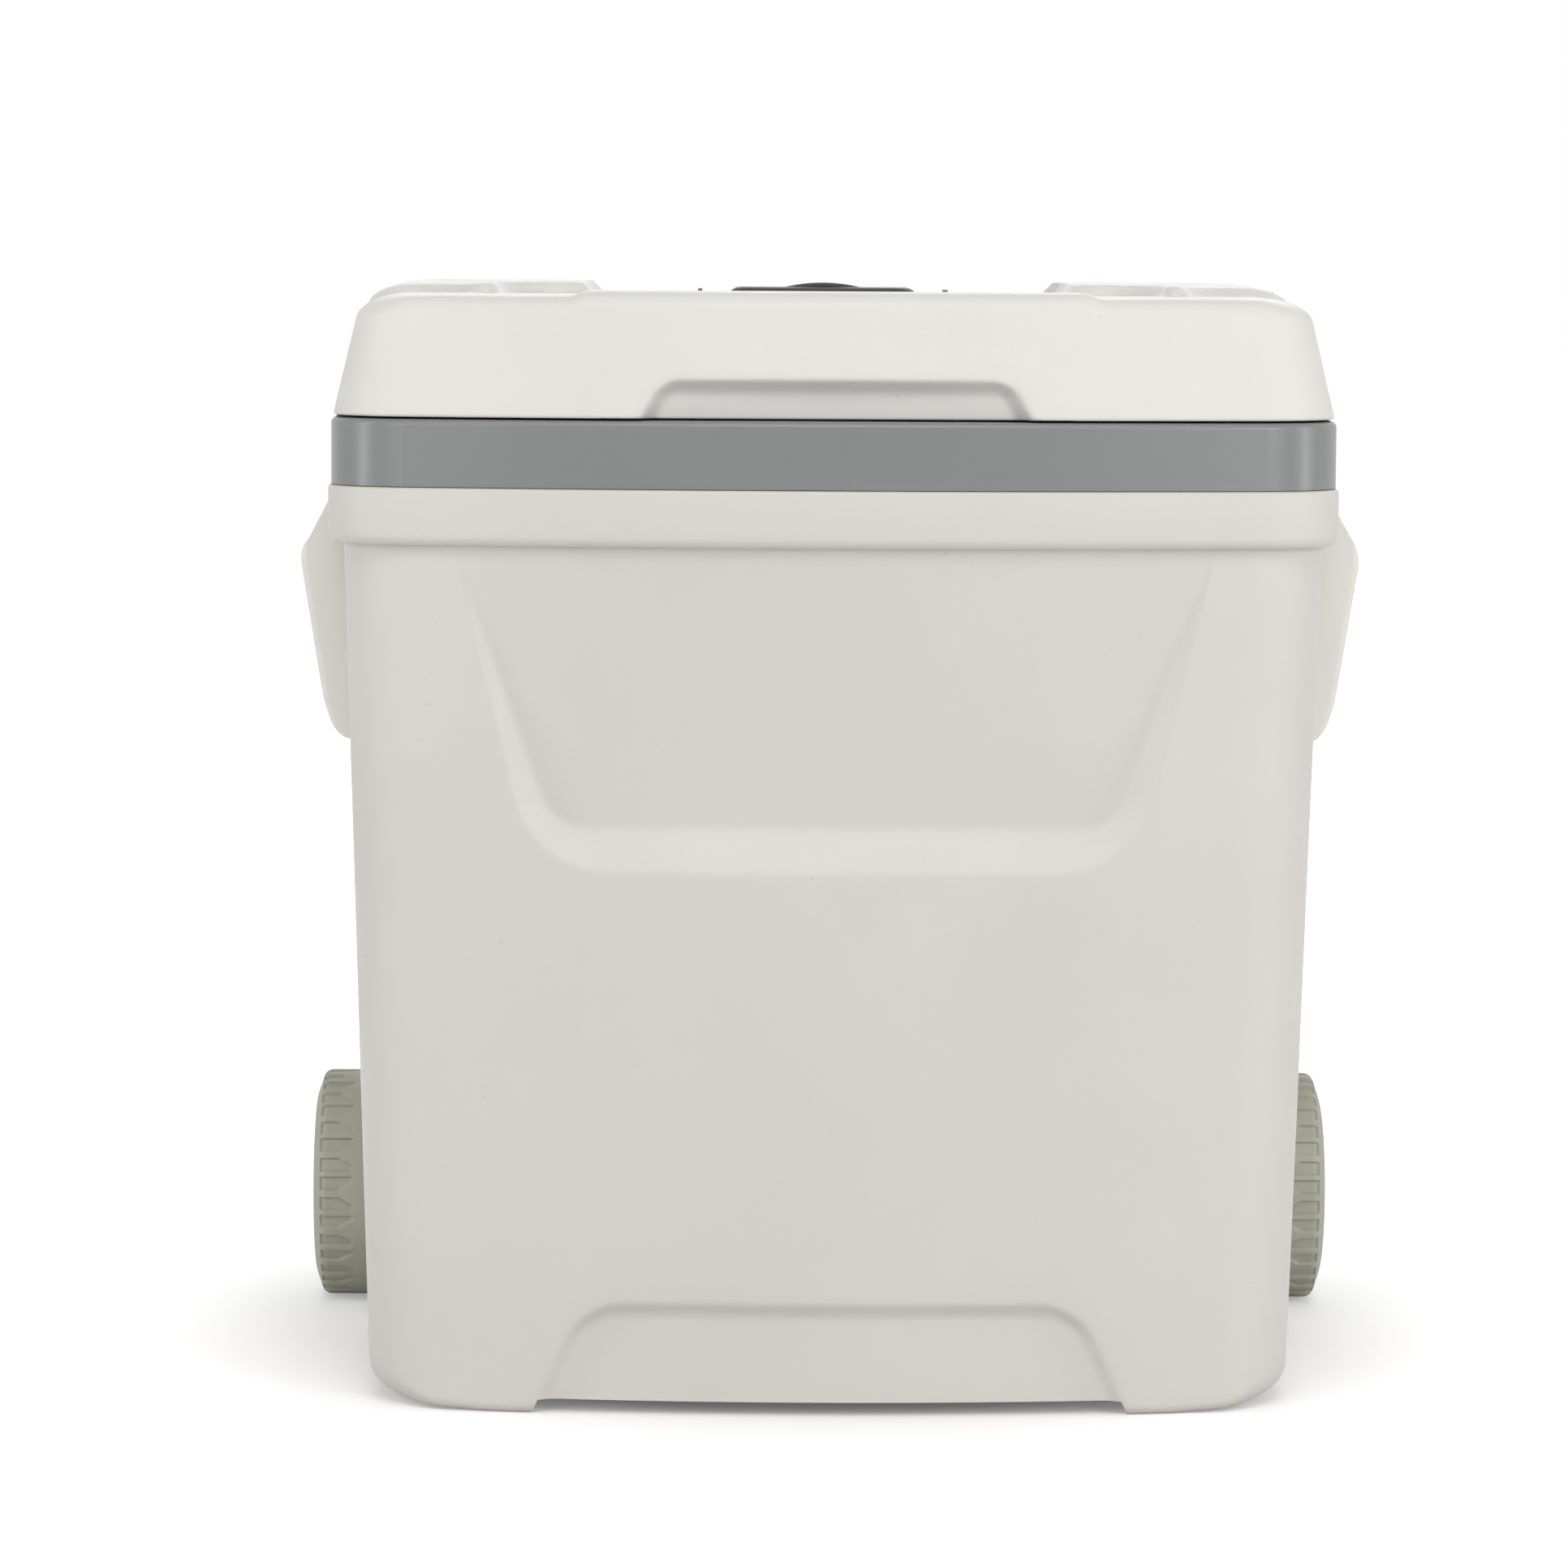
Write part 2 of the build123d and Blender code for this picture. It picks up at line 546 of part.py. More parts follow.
def lid_shell():
    """White lid moulding, open below."""
    lid = lid_block(SEAM, LID_TOP)
    lid = fillet(lid.faces().sort_by(Axis.Z)[-1].edges(), LID_EDGE_ROUND)
    lid = less(lid, lid_relief() + [lid_notch(), finger_notch()])
    lid -= lid_hollow()
    return less(lid, [rod_y(RIM_REAR - 26, FAR, x, z, PILOT) for x, z in lid_leaf_screw_places()])


def lid_plug(low, high, inset):
    """Block with the mouth's outline, in from it."""
    drop = PLUG_GAP + inset
    outline = plan(BODY_HALF - WALL_SIDE - drop, BODY_FRONT + WALL_FRONT + drop, CAVITY_REAR - drop,
                   CAVITY_CORNER - inset, CAVITY_CORNER - inset, low)
    return extrude(outline, high - low)


def lid_liner():
    """Grey pan that closes the lid from below, with a plug that drops into the mouth."""
    low = COLLAR_TOP + SLIDE
    pan = lid_block(SEAM, SEAM + LINER_WALL, LID_WALL + SEAT)
    pan += lid_plug(low, SEAM + 1, -PLUG_GAP - LAND_WIDTH)
    pan = pan - lid_notch(LID_WALL + SEAT) - finger_notch(LID_WALL + SEAT)
    plug = lid_plug(SEAM - PLUG_DEPTH, SEAM + 1, 0)
    return pan + plug - lid_plug(SEAM - PLUG_DEPTH + LINER_WALL, SEAM + 20, LINER_WALL)


def lid_foam():
    """Insulation inside the lid."""
    foam = lid_hollow(FOAM_GAP) + lid_plug(SEAM - PLUG_DEPTH + LINER_WALL + FOAM_GAP, SEAM + 10,
                                           LINER_WALL + FOAM_GAP)
    return less(foam, [rod_y(RIM_REAR - 31, FAR, x, z, PILOT + 1) for x, z in lid_leaf_screw_places()])


def hinge_body_leaf():
    """Leaf on the rim's rear with two arms that carry the pin high behind the lid."""
    face = RIM_REAR + SEAT
    leaf = block(HINGE_X - HINGE_HALF, HINGE_X + HINGE_HALF, face, face + LEAF, RIM_BOTTOM + 5,
                 HINGE_Z - KNUCKLE_RADIUS - 1.5)
    for x0, x1 in ((HINGE_X - HINGE_HALF, HINGE_X - 9), (HINGE_X + 9, HINGE_X + HINGE_HALF)):
        leaf += block(x0, x1, face, face + LEAF, HINGE_Z - 20, HINGE_Z)
        leaf += rod_x(x0, x1, HINGE_Y, HINGE_Z, KNUCKLE_RADIUS)
    leaf -= rod_x(0, FAR, HINGE_Y, HINGE_Z, PIN_RADIUS + RUNNING)
    places = [(x, z) for x, z in hinge_screw_places() if x > 0]
    return less(leaf, [rod_y(face - 1, face + 10, x, z, CLEARANCE_HOLE) for x, z in places])


def hinge_lid_leaf():
    """Leaf on the lid's sloping rear with the middle knuckle."""
    deep, back = RIM_REAR - 21, HINGE_Y - LID_LEAF_BACK
    leaf = block(HINGE_X - 17, HINGE_X + 17, deep, back, HINGE_Z - 29, HINGE_Z - 8)
    leaf += block(HINGE_X - 8.7, HINGE_X + 8.7, deep, HINGE_Y, HINGE_Z - 19, HINGE_Z + KNUCKLE_RADIUS)
    leaf -= block(0, FAR, back, FAR, 0, HINGE_Z - KNUCKLE_RADIUS)
    leaf += rod_x(HINGE_X - 8.7, HINGE_X + 8.7, HINGE_Y, HINGE_Z, KNUCKLE_RADIUS)
    leaf -= rod_x(0, FAR, HINGE_Y, HINGE_Z, PIN_RADIUS + RUNNING)
    leaf -= lid_block(SEAM, LID_TOP, -SEAT)
    return less(leaf, [rod_y(0, FAR, x, z, CLEARANCE_HOLE) for x, z in lid_leaf_screw_places() if x > 0])


def hinge_pin():
    """Steel pin through the three knuckles."""
    pin = rod_x(HINGE_X - HINGE_HALF - 0.8, HINGE_X + HINGE_HALF + 0.8, HINGE_Y, HINGE_Z, PIN_RADIUS)
    for x in (HINGE_X - HINGE_HALF - 1.3, HINGE_X + HINGE_HALF + 0.3):
        pin += rod_x(x, x + 1.0, HINGE_Y, HINGE_Z, PIN_RADIUS + 1.0)
    return pin


def screw_y(x, z, head_y, length):
    """Pan-head screw driven towards -Y."""
    return (rod_y(head_y - length, head_y, x, z, SCREW_RADIUS)
            + rod_y(head_y, head_y + SCREW_HEAD_HEIGHT, x, z, SCREW_HEAD))


def hinge_body_screws():
    """Screws of both body leaves."""
    head = RIM_REAR + SEAT + LEAF + 0.02
    return Compound([screw_y(x, z, head, 13) for x, z in hinge_screw_places()])


def hinge_lid_screws():
    """Screws of both lid leaves."""
    return Compound([screw_y(x, z, HINGE_Y - LID_LEAF_BACK + 0.02, 14) for x, z in lid_leaf_screw_places()])


def axle():
    """Steel rod through both wheels."""
    return rod_x(-WHEEL_OUTER + 4.5, WHEEL_OUTER - 4.5, AXLE_Y, AXLE_Z, AXLE_RADIUS)


def axle_clip():
    """Plastic clip that keeps the axle up in its slot."""
    half = AXLE_RADIUS + RUNNING - SEAT
    low, high = CLIP_X - CLIP_HALF, CLIP_X + CLIP_HALF
    clip = block(low, high, AXLE_Y - half, AXLE_Y + half, STEP_Z - 1, AXLE_Z - AXLE_RADIUS * 0.6)
    clip -= rod_x(0, FAR, AXLE_Y, AXLE_Z, AXLE_RADIUS + RUNNING)
    flange = AXLE_RADIUS + 13
    clip += block(low, high, AXLE_Y - flange, AXLE_Y + flange, STEP_Z - LEAF - 0.5, STEP_Z - SEAT)
    return less(clip, [rod_z(0, STEP_Z + 8, x, y, CLEARANCE_HOLE) for x, y in clip_screw_places() if x > 0])


def axle_clip_screws():
    """Screws of both axle clips, heads below."""
    head = STEP_Z - LEAF - 0.52
    return Compound([rod_z(head, head + 12, x, y, SCREW_RADIUS)
                     + rod_z(head - SCREW_HEAD_HEIGHT, head, x, y, SCREW_HEAD) for x, y in clip_screw_places()])


def wheel_turned(points):
    """Solid of revolution about the axle: points are (x, radius)."""
    face = make_face(Polyline(*points, close=True))
    return Pos(0, AXLE_Y, AXLE_Z) * revolve(face, Axis.X)


def tyre():
    """Soft tread ring with a rounded shoulder and a slightly domed outer face."""
    low, high = WHEEL_INNER, WHEEL_OUTER
    ring = wheel_turned([(low, HUB_RADIUS), (low, WHEEL_RADIUS), (high - 2.5, WHEEL_RADIUS),
                         (high - 2.5, WHEEL_RADIUS - TYRE_SHOULDER - 1), (high, HUB_RADIUS + 6),
                         (high - 1, HUB_RADIUS)])
    tread = [edge for edge in ring.edges().filter_by(GeomType.CIRCLE) if abs(edge.radius - WHEEL_RADIUS) < 0.01]
    return fillet(tread, TYRE_SHOULDER)


def wheel_hub():
    """Wheel centre: rim ring, web with six ribs and a bored boss."""
    ring_out, ring_in = HUB_RADIUS - SEAT, HUB_RADIUS - 5
    low, high, bore = WHEEL_INNER + 1, WHEEL_OUTER - 1.5, AXLE_RADIUS + RUNNING
    web = (WHEEL_INNER + WHEEL_OUTER) / 2 + 8
    hub = wheel_turned([(low, ring_in), (low, ring_out), (high, ring_out), (high, ring_in)])
    hub += wheel_turned([(web - 2.5, BOSS_RADIUS - 1), (web - 2.5, ring_out), (web + 2.5, ring_out),
                         (web + 2.5, BOSS_RADIUS - 1)])
    hub += wheel_turned([(WHEEL_INNER - 1, bore), (WHEEL_INNER - 1, BOSS_RADIUS), (HUB_BOSS_OUT, BOSS_RADIUS),
                         (HUB_BOSS_OUT, bore)])
    for turn in range(6):
        rib = block(web, high - 4.5, -2, 2, BOSS_RADIUS - 1, ring_in + 1)
        hub += Pos(0, AXLE_Y, AXLE_Z) * Rot(60 * turn, 0, 0) * rib
    return hub - rod_x(0, FAR, AXLE_Y, AXLE_Z, bore)


def wheel_washer():
    """Spacer between the shell and the hub."""
    washer = rod_x(WELL_SIDE + SLIDE, WHEEL_INNER - 1 - SLIDE, AXLE_Y, AXLE_Z, CAP_RADIUS)
    return washer - rod_x(0, FAR, AXLE_Y, AXLE_Z, AXLE_RADIUS + RUNNING)


def axle_cap():
    """Push-on cap over the axle's end."""
    low, high = HUB_BOSS_OUT + SLIDE, WHEEL_OUTER - 2.0
    cap = rod_x(low, high, AXLE_Y, AXLE_Z, CAP_RADIUS)
    cap = fillet(cap.faces().sort_by(Axis.X)[-1].edges(), 2.0)
    return cap - rod_x(low - 1, WHEEL_OUTER - 4.4, AXLE_Y, AXLE_Z, AXLE_RADIUS + RUNNING)


def tube_holes(low, radius):
    """Upright holes at both tubes, open at the top."""
    return [rod_z(low, FAR, x, TUBE_Y, radius) for x in (-TUBE_X, TUBE_X)]


def bracket_holes(upper, face):
    """Screw holes of the guide or the foot, with room for the heads behind a face."""
    places = [(x, z) for x, z in bracket_screw_places() if (z > RIM_BOTTOM) == upper]
    holes = [rod_y(0, FAR, x, z, CLEARANCE_HOLE) for x, z in places]
    return holes + [rod_y(face, FAR, x, z, SCREW_HEAD + 1) for x, z in places]


def guide_upper():
    """Black guide at the top of the channel, with a plate and two thin ears beside the grip."""
    wide, back, plate = CHANNEL_HALF - SEAT, RIM_REAR - 3, COLLAR_TOP + SEAT
    guide = block(-wide, wide, CHANNEL_FRONT + SEAT, back, RIM_TOP, COLLAR_TOP + 0.5)
    side = GUIDE_EAR + EAR_WIDTH / 2
    guide += block(-side, side, LID_NOTCH_FRONT + 8, back, plate, plate + GUIDE_PLATE)
    for x in (-GUIDE_EAR, GUIDE_EAR):
        ear = block(x - EAR_WIDTH / 2, x + EAR_WIDTH / 2, CHANNEL_FRONT + 2, back - 2, plate,
                    LID_TOP - EAR_DROP)
        top = [edge for edge in ear.edges().filter_by(Axis.X) if edge.center().Z > plate + 10]
        guide += fillet(top, 12)
    guide = less(guide, tube_holes(0, OUTER_TUBE_RADIUS + RUNNING))
    return less(guide, bracket_holes(True, RIM_REAR - 10))


def guide_lower():
    """Black foot that seats both outer tubes at the bottom of the channel."""
    wide = CHANNEL_HALF - SEAT
    foot = block(-wide, wide, CHANNEL_FRONT + SEAT, BODY_REAR - 1, CHANNEL_FLOOR + SEAT,
                 CHANNEL_FLOOR + FOOT_BLOCK)
    foot = less(foot, tube_holes(OUTER_TUBE_LOW - SEAT, OUTER_TUBE_RADIUS + RUNNING))
    return less(foot, bracket_holes(False, BODY_REAR - 6))


def bracket_screws():
    """Four screws that hold guide and foot in the channel."""
    screws = []
    for x, z in bracket_screw_places():
        head = (RIM_REAR - 10 if z > RIM_BOTTOM else BODY_REAR - 6) + 0.02
        screws.append(screw_y(x, z, head, head - CHANNEL_FRONT + 9))
    return Compound(screws)


def outer_tube():
    """Fixed tube with lock holes for the stowed and the drawn handle."""
    tube = rod_z(OUTER_TUBE_LOW, OUTER_TUBE_HIGH, TUBE_X, TUBE_Y, OUTER_TUBE_RADIUS)
    tube -= rod_z(0, FAR, TUBE_X, TUBE_Y, OUTER_TUBE_RADIUS - TUBE_WALL)
    for z in (LOCK_PIN_Z, LOCK_PIN_Z + HANDLE_TRAVEL):
        tube -= rod_x(TUBE_X, TUBE_X + 2 * OUTER_TUBE_RADIUS, TUBE_Y, z, LOCK_PIN_RADIUS + SLIDE)
    return tube


def glide_bush():
    """Bush in the mouth of an outer tube."""
    low, high = OUTER_TUBE_HIGH - 16, OUTER_TUBE_HIGH + 2.0
    bush = rod_z(low, high, TUBE_X, TUBE_Y, OUTER_TUBE_RADIUS - TUBE_WALL - RUNNING)
    bush += rod_z(OUTER_TUBE_HIGH + SEAT, high, TUBE_X, TUBE_Y, OUTER_TUBE_RADIUS + 2)
    return bush - rod_z(0, FAR, TUBE_X, TUBE_Y, INNER_TUBE_RADIUS + RUNNING)


def inner_tube():
    """Sliding tube."""
    tube = rod_z(INNER_TUBE_LOW, INNER_TUBE_HIGH, TUBE_X, TUBE_Y, INNER_TUBE_RADIUS)
    return tube - rod_z(0, FAR, TUBE_X, TUBE_Y, INNER_TUBE_RADIUS - TUBE_WALL)


def end_plug():
    """Plug in the lower end of an inner tube: runs in the outer tube and holds the lock pin."""
    low = LOCK_PIN_Z - 9
    plug = rod_z(low, INNER_TUBE_LOW - 0.1, TUBE_X, TUBE_Y, OUTER_TUBE_RADIUS - TUBE_WALL - RUNNING)
    plug += rod_z(low, INNER_TUBE_LOW + 14, TUBE_X, TUBE_Y, INNER_TUBE_RADIUS - TUBE_WALL - RUNNING)
    plug -= rod_x(TUBE_X - INNER_TUBE_RADIUS + 1, FAR, TUBE_Y, LOCK_PIN_Z, LOCK_PIN_RADIUS + RUNNING)
    return plug - rod_z(LOCK_PIN_Z + LOCK_PIN_RADIUS + 1, FAR, TUBE_X, TUBE_Y, ROD_RADIUS + SLIDE)


def lock_pin():
    """Pin that rides on the outer tube's wall between the lock holes."""
    tip = TUBE_X + sqrt((OUTER_TUBE_RADIUS - TUBE_WALL - SLIDE)**2 - LOCK_PIN_RADIUS**2)
    return rod_x(TUBE_X + 1, tip, TUBE_Y, LOCK_PIN_Z, LOCK_PIN_RADIUS)


def coil(radius, wire, length, turns):
    """Compression spring along Z from the origin."""
    path = Helix((length - 2 * wire) / turns, length - 2 * wire, radius)
    return Pos(0, 0, wire) * sweep(Plane(path @ 0, z_dir=path % 0) * Circle(wire), path)


def lock_spring():
    """Spring behind a lock pin."""
    low = TUBE_X - INNER_TUBE_RADIUS + 1.1
    spring = coil(LOCK_PIN_RADIUS - 0.8, 0.4, TUBE_X + 0.9 - low, 5)
    return Pos(low, TUBE_Y, LOCK_PIN_Z) * Rot(0, 90, 0) * spring


def grip_block(low, high):
    """Bar with the grip's rounded outline."""
    face = Pos(0, TUBE_Y, low) * RectangleRounded(2 * GRIP_HALF, GRIP_DEPTH, GRIP_CORNER)
    return extrude(face, high - low)


def grip_screw_places():
    """Screws that join the two halves of the grip."""
    side = GRIP_DEPTH / 2 - 5.5
    return [(x, y) for x in (-BUTTON_HALF, BUTTON_HALF) for y in (TUBE_Y - side, TUBE_Y + side)]


def grip_base():
    """Lower half of the grip, on the inner tubes."""
    base = grip_block(GRIP_LOW, GRIP_SPLIT)
    base = fillet(base.faces().sort_by(Axis.Z)[0].edges(), 4.0)
    base = less(base, tube_holes(0, INNER_TUBE_RADIUS + RUNNING))
    base -= rod_z(SPRING_LOW, FAR, 0, TUBE_Y, 6.5)
    for x, y in grip_screw_places():
        base = base - rod_z(0, FAR, x, y, CLEARANCE_HOLE) - rod_z(0, GRIP_LOW + 4, x, y, SCREW_HEAD + 0.2)
    return base


def grip_cap():
    """Upper half of the grip, with the opening for the release button."""
    roof, half, deep = GRIP_HIGH - GRIP_ROOF, BUTTON_HALF + SLIDE, BUTTON_DEPTH / 2 + SLIDE
    cap = grip_block(GRIP_SPLIT + 0.05, GRIP_HIGH)
    cap = fillet(cap.faces().sort_by(Axis.Z)[-1].edges(), 7.0)
    cap -= block(-TUBE_X - 10, TUBE_X + 10, TUBE_Y - 10, TUBE_Y + 10, GRIP_SPLIT - 1, roof)
    cap -= block(-half - 4, half + 4, TUBE_Y - deep - 1.4, TUBE_Y + deep + 1.4, GRIP_SPLIT + 8, roof)
    cap -= block(-half, half, TUBE_Y - deep, TUBE_Y + deep, roof - 1, FAR)
    return less(cap, [rod_z(0, GRIP_SPLIT + 6.5, x, y, PILOT) for x, y in grip_screw_places()])


def grip_screws():
    """Four screws that join the grip's halves."""
    head = GRIP_LOW + 3.98
    return Compound([rod_z(head - 1, GRIP_SPLIT + 6, x, y, SCREW_RADIUS)
                     + rod_z(head - SCREW_HEAD_HEIGHT, head, x, y, SCREW_HEAD) for x, y in grip_screw_places()])


def release_button():
    """Arched push button with a skirt under the cap's roof."""
    roof, deep = GRIP_HIGH - GRIP_ROOF, BUTTON_DEPTH / 2
    left, right, crown = (-BUTTON_HALF, GRIP_HIGH), (BUTTON_HALF, GRIP_HIGH), (0, GRIP_HIGH + BUTTON_RISE)
    arch = make_face([Polyline(left, (-BUTTON_HALF, roof - 1), (BUTTON_HALF, roof - 1), right),
                      ThreePointArc(right, crown, left)])
    top = Pos(0, TUBE_Y + deep, 0) * Rot(90, 0, 0) * extrude(arch, BUTTON_DEPTH)
    top = fillet([edge for edge in top.edges() if edge.center().Z > GRIP_HIGH + 0.5], 1.5)
    top += block(-BUTTON_HALF - 3.5, BUTTON_HALF + 3.5, TUBE_Y - deep - 1.3, TUBE_Y + deep + 1.3, roof - 2.3,
                 roof - SLIDE)
    return top + block(-6, 6, TUBE_Y - 6, TUBE_Y + 6, YOKE_HIGH + 0.05, roof - 2)


def release_yoke():
    """Bar under the button with two rods down the inner tubes."""
    yoke = block(-TUBE_X - 4, TUBE_X + 4, TUBE_Y - 5, TUBE_Y + 5, YOKE_LOW, YOKE_HIGH)
    for x in (-TUBE_X, TUBE_X):
        yoke += rod_z(LOCK_PIN_Z + LOCK_PIN_RADIUS + BUTTON_TRAVEL + 2, YOKE_LOW + 1, x, TUBE_Y, ROD_RADIUS)
    return yoke


def button_spring():
    """Spring under the yoke."""
    return Pos(0, TUBE_Y, SPRING_LOW + 0.2) * coil(4.6, 0.7, YOKE_LOW - SPRING_LOW - 0.4, 5)


def drain_fitting():
    """Flanged tube through the wall."""
    inner = BODY_HALF - WALL_SIDE - (COLLAR_TOP - DRAIN_Z) * SLOPE - 2
    tube = rod_x(inner, DRAIN_FACE + 5, DRAIN_Y, DRAIN_Z, DRAIN_TUBE)
    tube += rod_x(DRAIN_FACE + SEAT, DRAIN_FACE + 2.5, DRAIN_Y, DRAIN_Z, DRAIN_FLANGE)
    return tube - rod_x(0, FAR, DRAIN_Y, DRAIN_Z, DRAIN_BORE)


def drain_washer():
    """Rubber washer under the plug's head."""
    washer = rod_x(DRAIN_FACE + 5.02, WASHER_OUT, DRAIN_Y, DRAIN_Z, DRAIN_TUBE)
    return washer - rod_x(0, FAR, DRAIN_Y, DRAIN_Z, DRAIN_BORE + SLIDE)


def drain_plug():
    """Plug with a knurled head, kept inside the dish."""
    low, high = WASHER_OUT + SLIDE, WASHER_OUT + SLIDE + 3
    plug = rod_x(DRAIN_FACE - 10, low + 1, DRAIN_Y, DRAIN_Z, DRAIN_BORE - RUNNING)
    plug += rod_x(low, high, DRAIN_Y, DRAIN_Z, DRAIN_HEAD)
    for turn in range(12):
        angle, ring = radians(30 * turn), DRAIN_HEAD + 1.5
        plug -= rod_x(low - 1, high + 1, DRAIN_Y + ring * cos(angle), DRAIN_Z + ring * sin(angle), 3)
    return plug


PAIRS = {
    "side_handle": side_handle,
    "hinge_body_leaf": hinge_body_leaf,
    "hinge_lid_leaf": hinge_lid_leaf,
    "hinge_pin": hinge_pin,
    "axle_clip": axle_clip,
    "tyre": tyre,
    "wheel_hub": wheel_hub,
    "wheel_washer": wheel_washer,
    "axle_cap": axle_cap,
    "outer_tube": outer_tube,
    "glide_bush": glide_bush,
    "inner_tube": inner_tube,
    "end_plug": end_plug,
    "lock_pin": lock_pin,
    "lock_spring": lock_spring,
}

SINGLES = {
    "outer_shell": outer_shell,
    "inner_liner": inner_liner,
    "body_foam": body_foam,
    "lid_shell": lid_shell,
    "lid_liner": lid_liner,
    "lid_foam": lid_foam,
    "hinge_body_screws": hinge_body_screws,
    "hinge_lid_screws": hinge_lid_screws,
    "axle": axle,
    "axle_clip_screws": axle_clip_screws,
    "guide_upper": guide_upper,
    "guide_lower": guide_lower,
    "bracket_screws": bracket_screws,
    "grip_base": grip_base,
    "grip_cap": grip_cap,
    "grip_screws": grip_screws,
    "release_button": release_button,
    "release_yoke": release_yoke,
    "button_spring": button_spring,
    "drain_fitting": drain_fitting,
    "drain_washer": drain_washer,
    "drain_plug": drain_plug,
}


def main():
    """Write one file per piece."""
    os.makedirs("parts", exist_ok=True)
    for name, make in SINGLES.items():
        export_step(make(), f"parts/{name}.step")
    for name, make in PAIRS.items():
        right = make()
        export_step(right, f"parts/{name}_right.step")
        export_step(mirrored(right), f"parts/{name}_left.step")


if __name__ == "__main__":
    main()
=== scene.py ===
"""Wheeled cooler: shell, lid, lift handles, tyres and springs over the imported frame, and every finish.

Metres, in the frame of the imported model: +X is the cooler's right seen from the front, -Y its front, +Z up.
"""
from __future__ import annotations

import json
import logging
import math
from dataclasses import dataclass, replace
from enum import Enum
from typing import Iterable, Sequence

import bmesh
import bpy
from mathutils import Matrix, Vector


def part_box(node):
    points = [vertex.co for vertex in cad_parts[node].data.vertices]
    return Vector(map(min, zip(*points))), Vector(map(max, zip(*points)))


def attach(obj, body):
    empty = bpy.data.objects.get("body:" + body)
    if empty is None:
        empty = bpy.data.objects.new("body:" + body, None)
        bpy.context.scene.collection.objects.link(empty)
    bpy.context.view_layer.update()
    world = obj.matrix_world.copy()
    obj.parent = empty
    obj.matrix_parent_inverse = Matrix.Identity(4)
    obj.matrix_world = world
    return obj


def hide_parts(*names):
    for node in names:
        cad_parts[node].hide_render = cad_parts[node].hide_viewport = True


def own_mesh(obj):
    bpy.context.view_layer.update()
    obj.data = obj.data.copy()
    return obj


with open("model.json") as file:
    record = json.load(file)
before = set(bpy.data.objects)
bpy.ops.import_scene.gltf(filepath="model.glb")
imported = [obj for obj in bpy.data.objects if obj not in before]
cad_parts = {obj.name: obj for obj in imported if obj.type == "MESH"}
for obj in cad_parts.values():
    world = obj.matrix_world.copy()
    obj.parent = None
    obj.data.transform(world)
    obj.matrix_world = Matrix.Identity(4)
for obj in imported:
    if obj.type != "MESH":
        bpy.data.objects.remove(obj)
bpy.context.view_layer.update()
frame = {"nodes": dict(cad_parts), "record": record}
LOG = logging.getLogger("cooler")

Triple = tuple[float, float, float]
Point = tuple[float, float]
Ring = list[Vector]
Socket = bpy.types.NodeSocket
Inputs = dict[str | int, object]
Piece = bpy.types.Object
Solid = bmesh.types.BMesh

OUTSIDE, BELOW, ABOVE = 0.4, -0.1, 0.6
NOISE_LOW, NOISE_HIGH = 0.3, 0.7


class Side(Enum):
    """Left and right seen from the front."""

    LEFT = -1
    RIGHT = 1

    @property
    def suffix(self) -> str:
        """Ending of the node names on this side."""
        return self.name.lower()


class Grain(Enum):
    """Direction of the drawing marks on a metal piece."""

    ALONG_X = (0.04, 1.0, 1.0)
    ALONG_Z = (1.0, 1.0, 0.04)


# Node trees


class Nodes:
    """Node tree of a material or of the surround."""

    def __init__(self, owner: bpy.types.Material | bpy.types.World) -> None:
        """Take over the owner's tree."""
        owner.use_nodes = True
        self.tree = owner.node_tree

    def wire(self, node: bpy.types.Node, inputs: Inputs) -> None:
        """Fill inputs of a node.

        Args:
            node: The node.
            inputs: Socket to link or constant to set, by the input's name or number.
        """
        for key, value in inputs.items():
            if isinstance(value, Socket):
                self.tree.links.new(value, node.inputs[key])
            else:
                node.inputs[key].default_value = value

    def add(self, kind: str, inputs: Inputs, **settings: object) -> bpy.types.Node:
        """Add a node.

        Args:
            kind: Node type, without the start that all have.
            inputs: What fills its inputs.
            settings: Other settings by attribute name.

        Returns:
            The new node.
        """
        node = self.tree.nodes.new(f"ShaderNode{kind}")
        for key, value in settings.items():
            setattr(node, key, value)
        self.wire(node, inputs)
        return node

    def combine(self, operation: str, first: Socket, second: Socket | float) -> Socket:
        """Work out one value from two."""
        return self.add("Math", {0: first, 1: second}, operation=operation).outputs[0]

    def ramp(self, value: Socket, stops: Sequence[tuple[float, Triple]]) -> Socket:
        """Turn a value into a colour.

        Args:
            value: Value from 0 to 1.
            stops: Place and colour of each stop, two or more, in order.

        Returns:
            The colour.
        """
        node = self.add("ValToRGB", {"Fac": value})
        points = node.color_ramp.elements
        while len(points) < len(stops):
            points.new(0.5)
        for point, (place, colour) in zip(points, stops):
            point.position, point.color = place, (*colour, 1.0)
        return node.outputs["Color"]

    def sight(self) -> Socket:
        """Tell what is seen from what is only lit.

        Returns:
            1 for what the camera sees directly, in gloss or through clear pieces.
        """
        path = self.add("LightPath", {}).outputs
        seen = self.combine("MAXIMUM", path["Is Camera Ray"], path["Is Glossy Ray"])
        return self.combine("MAXIMUM", seen, path["Is Transmission Ray"])


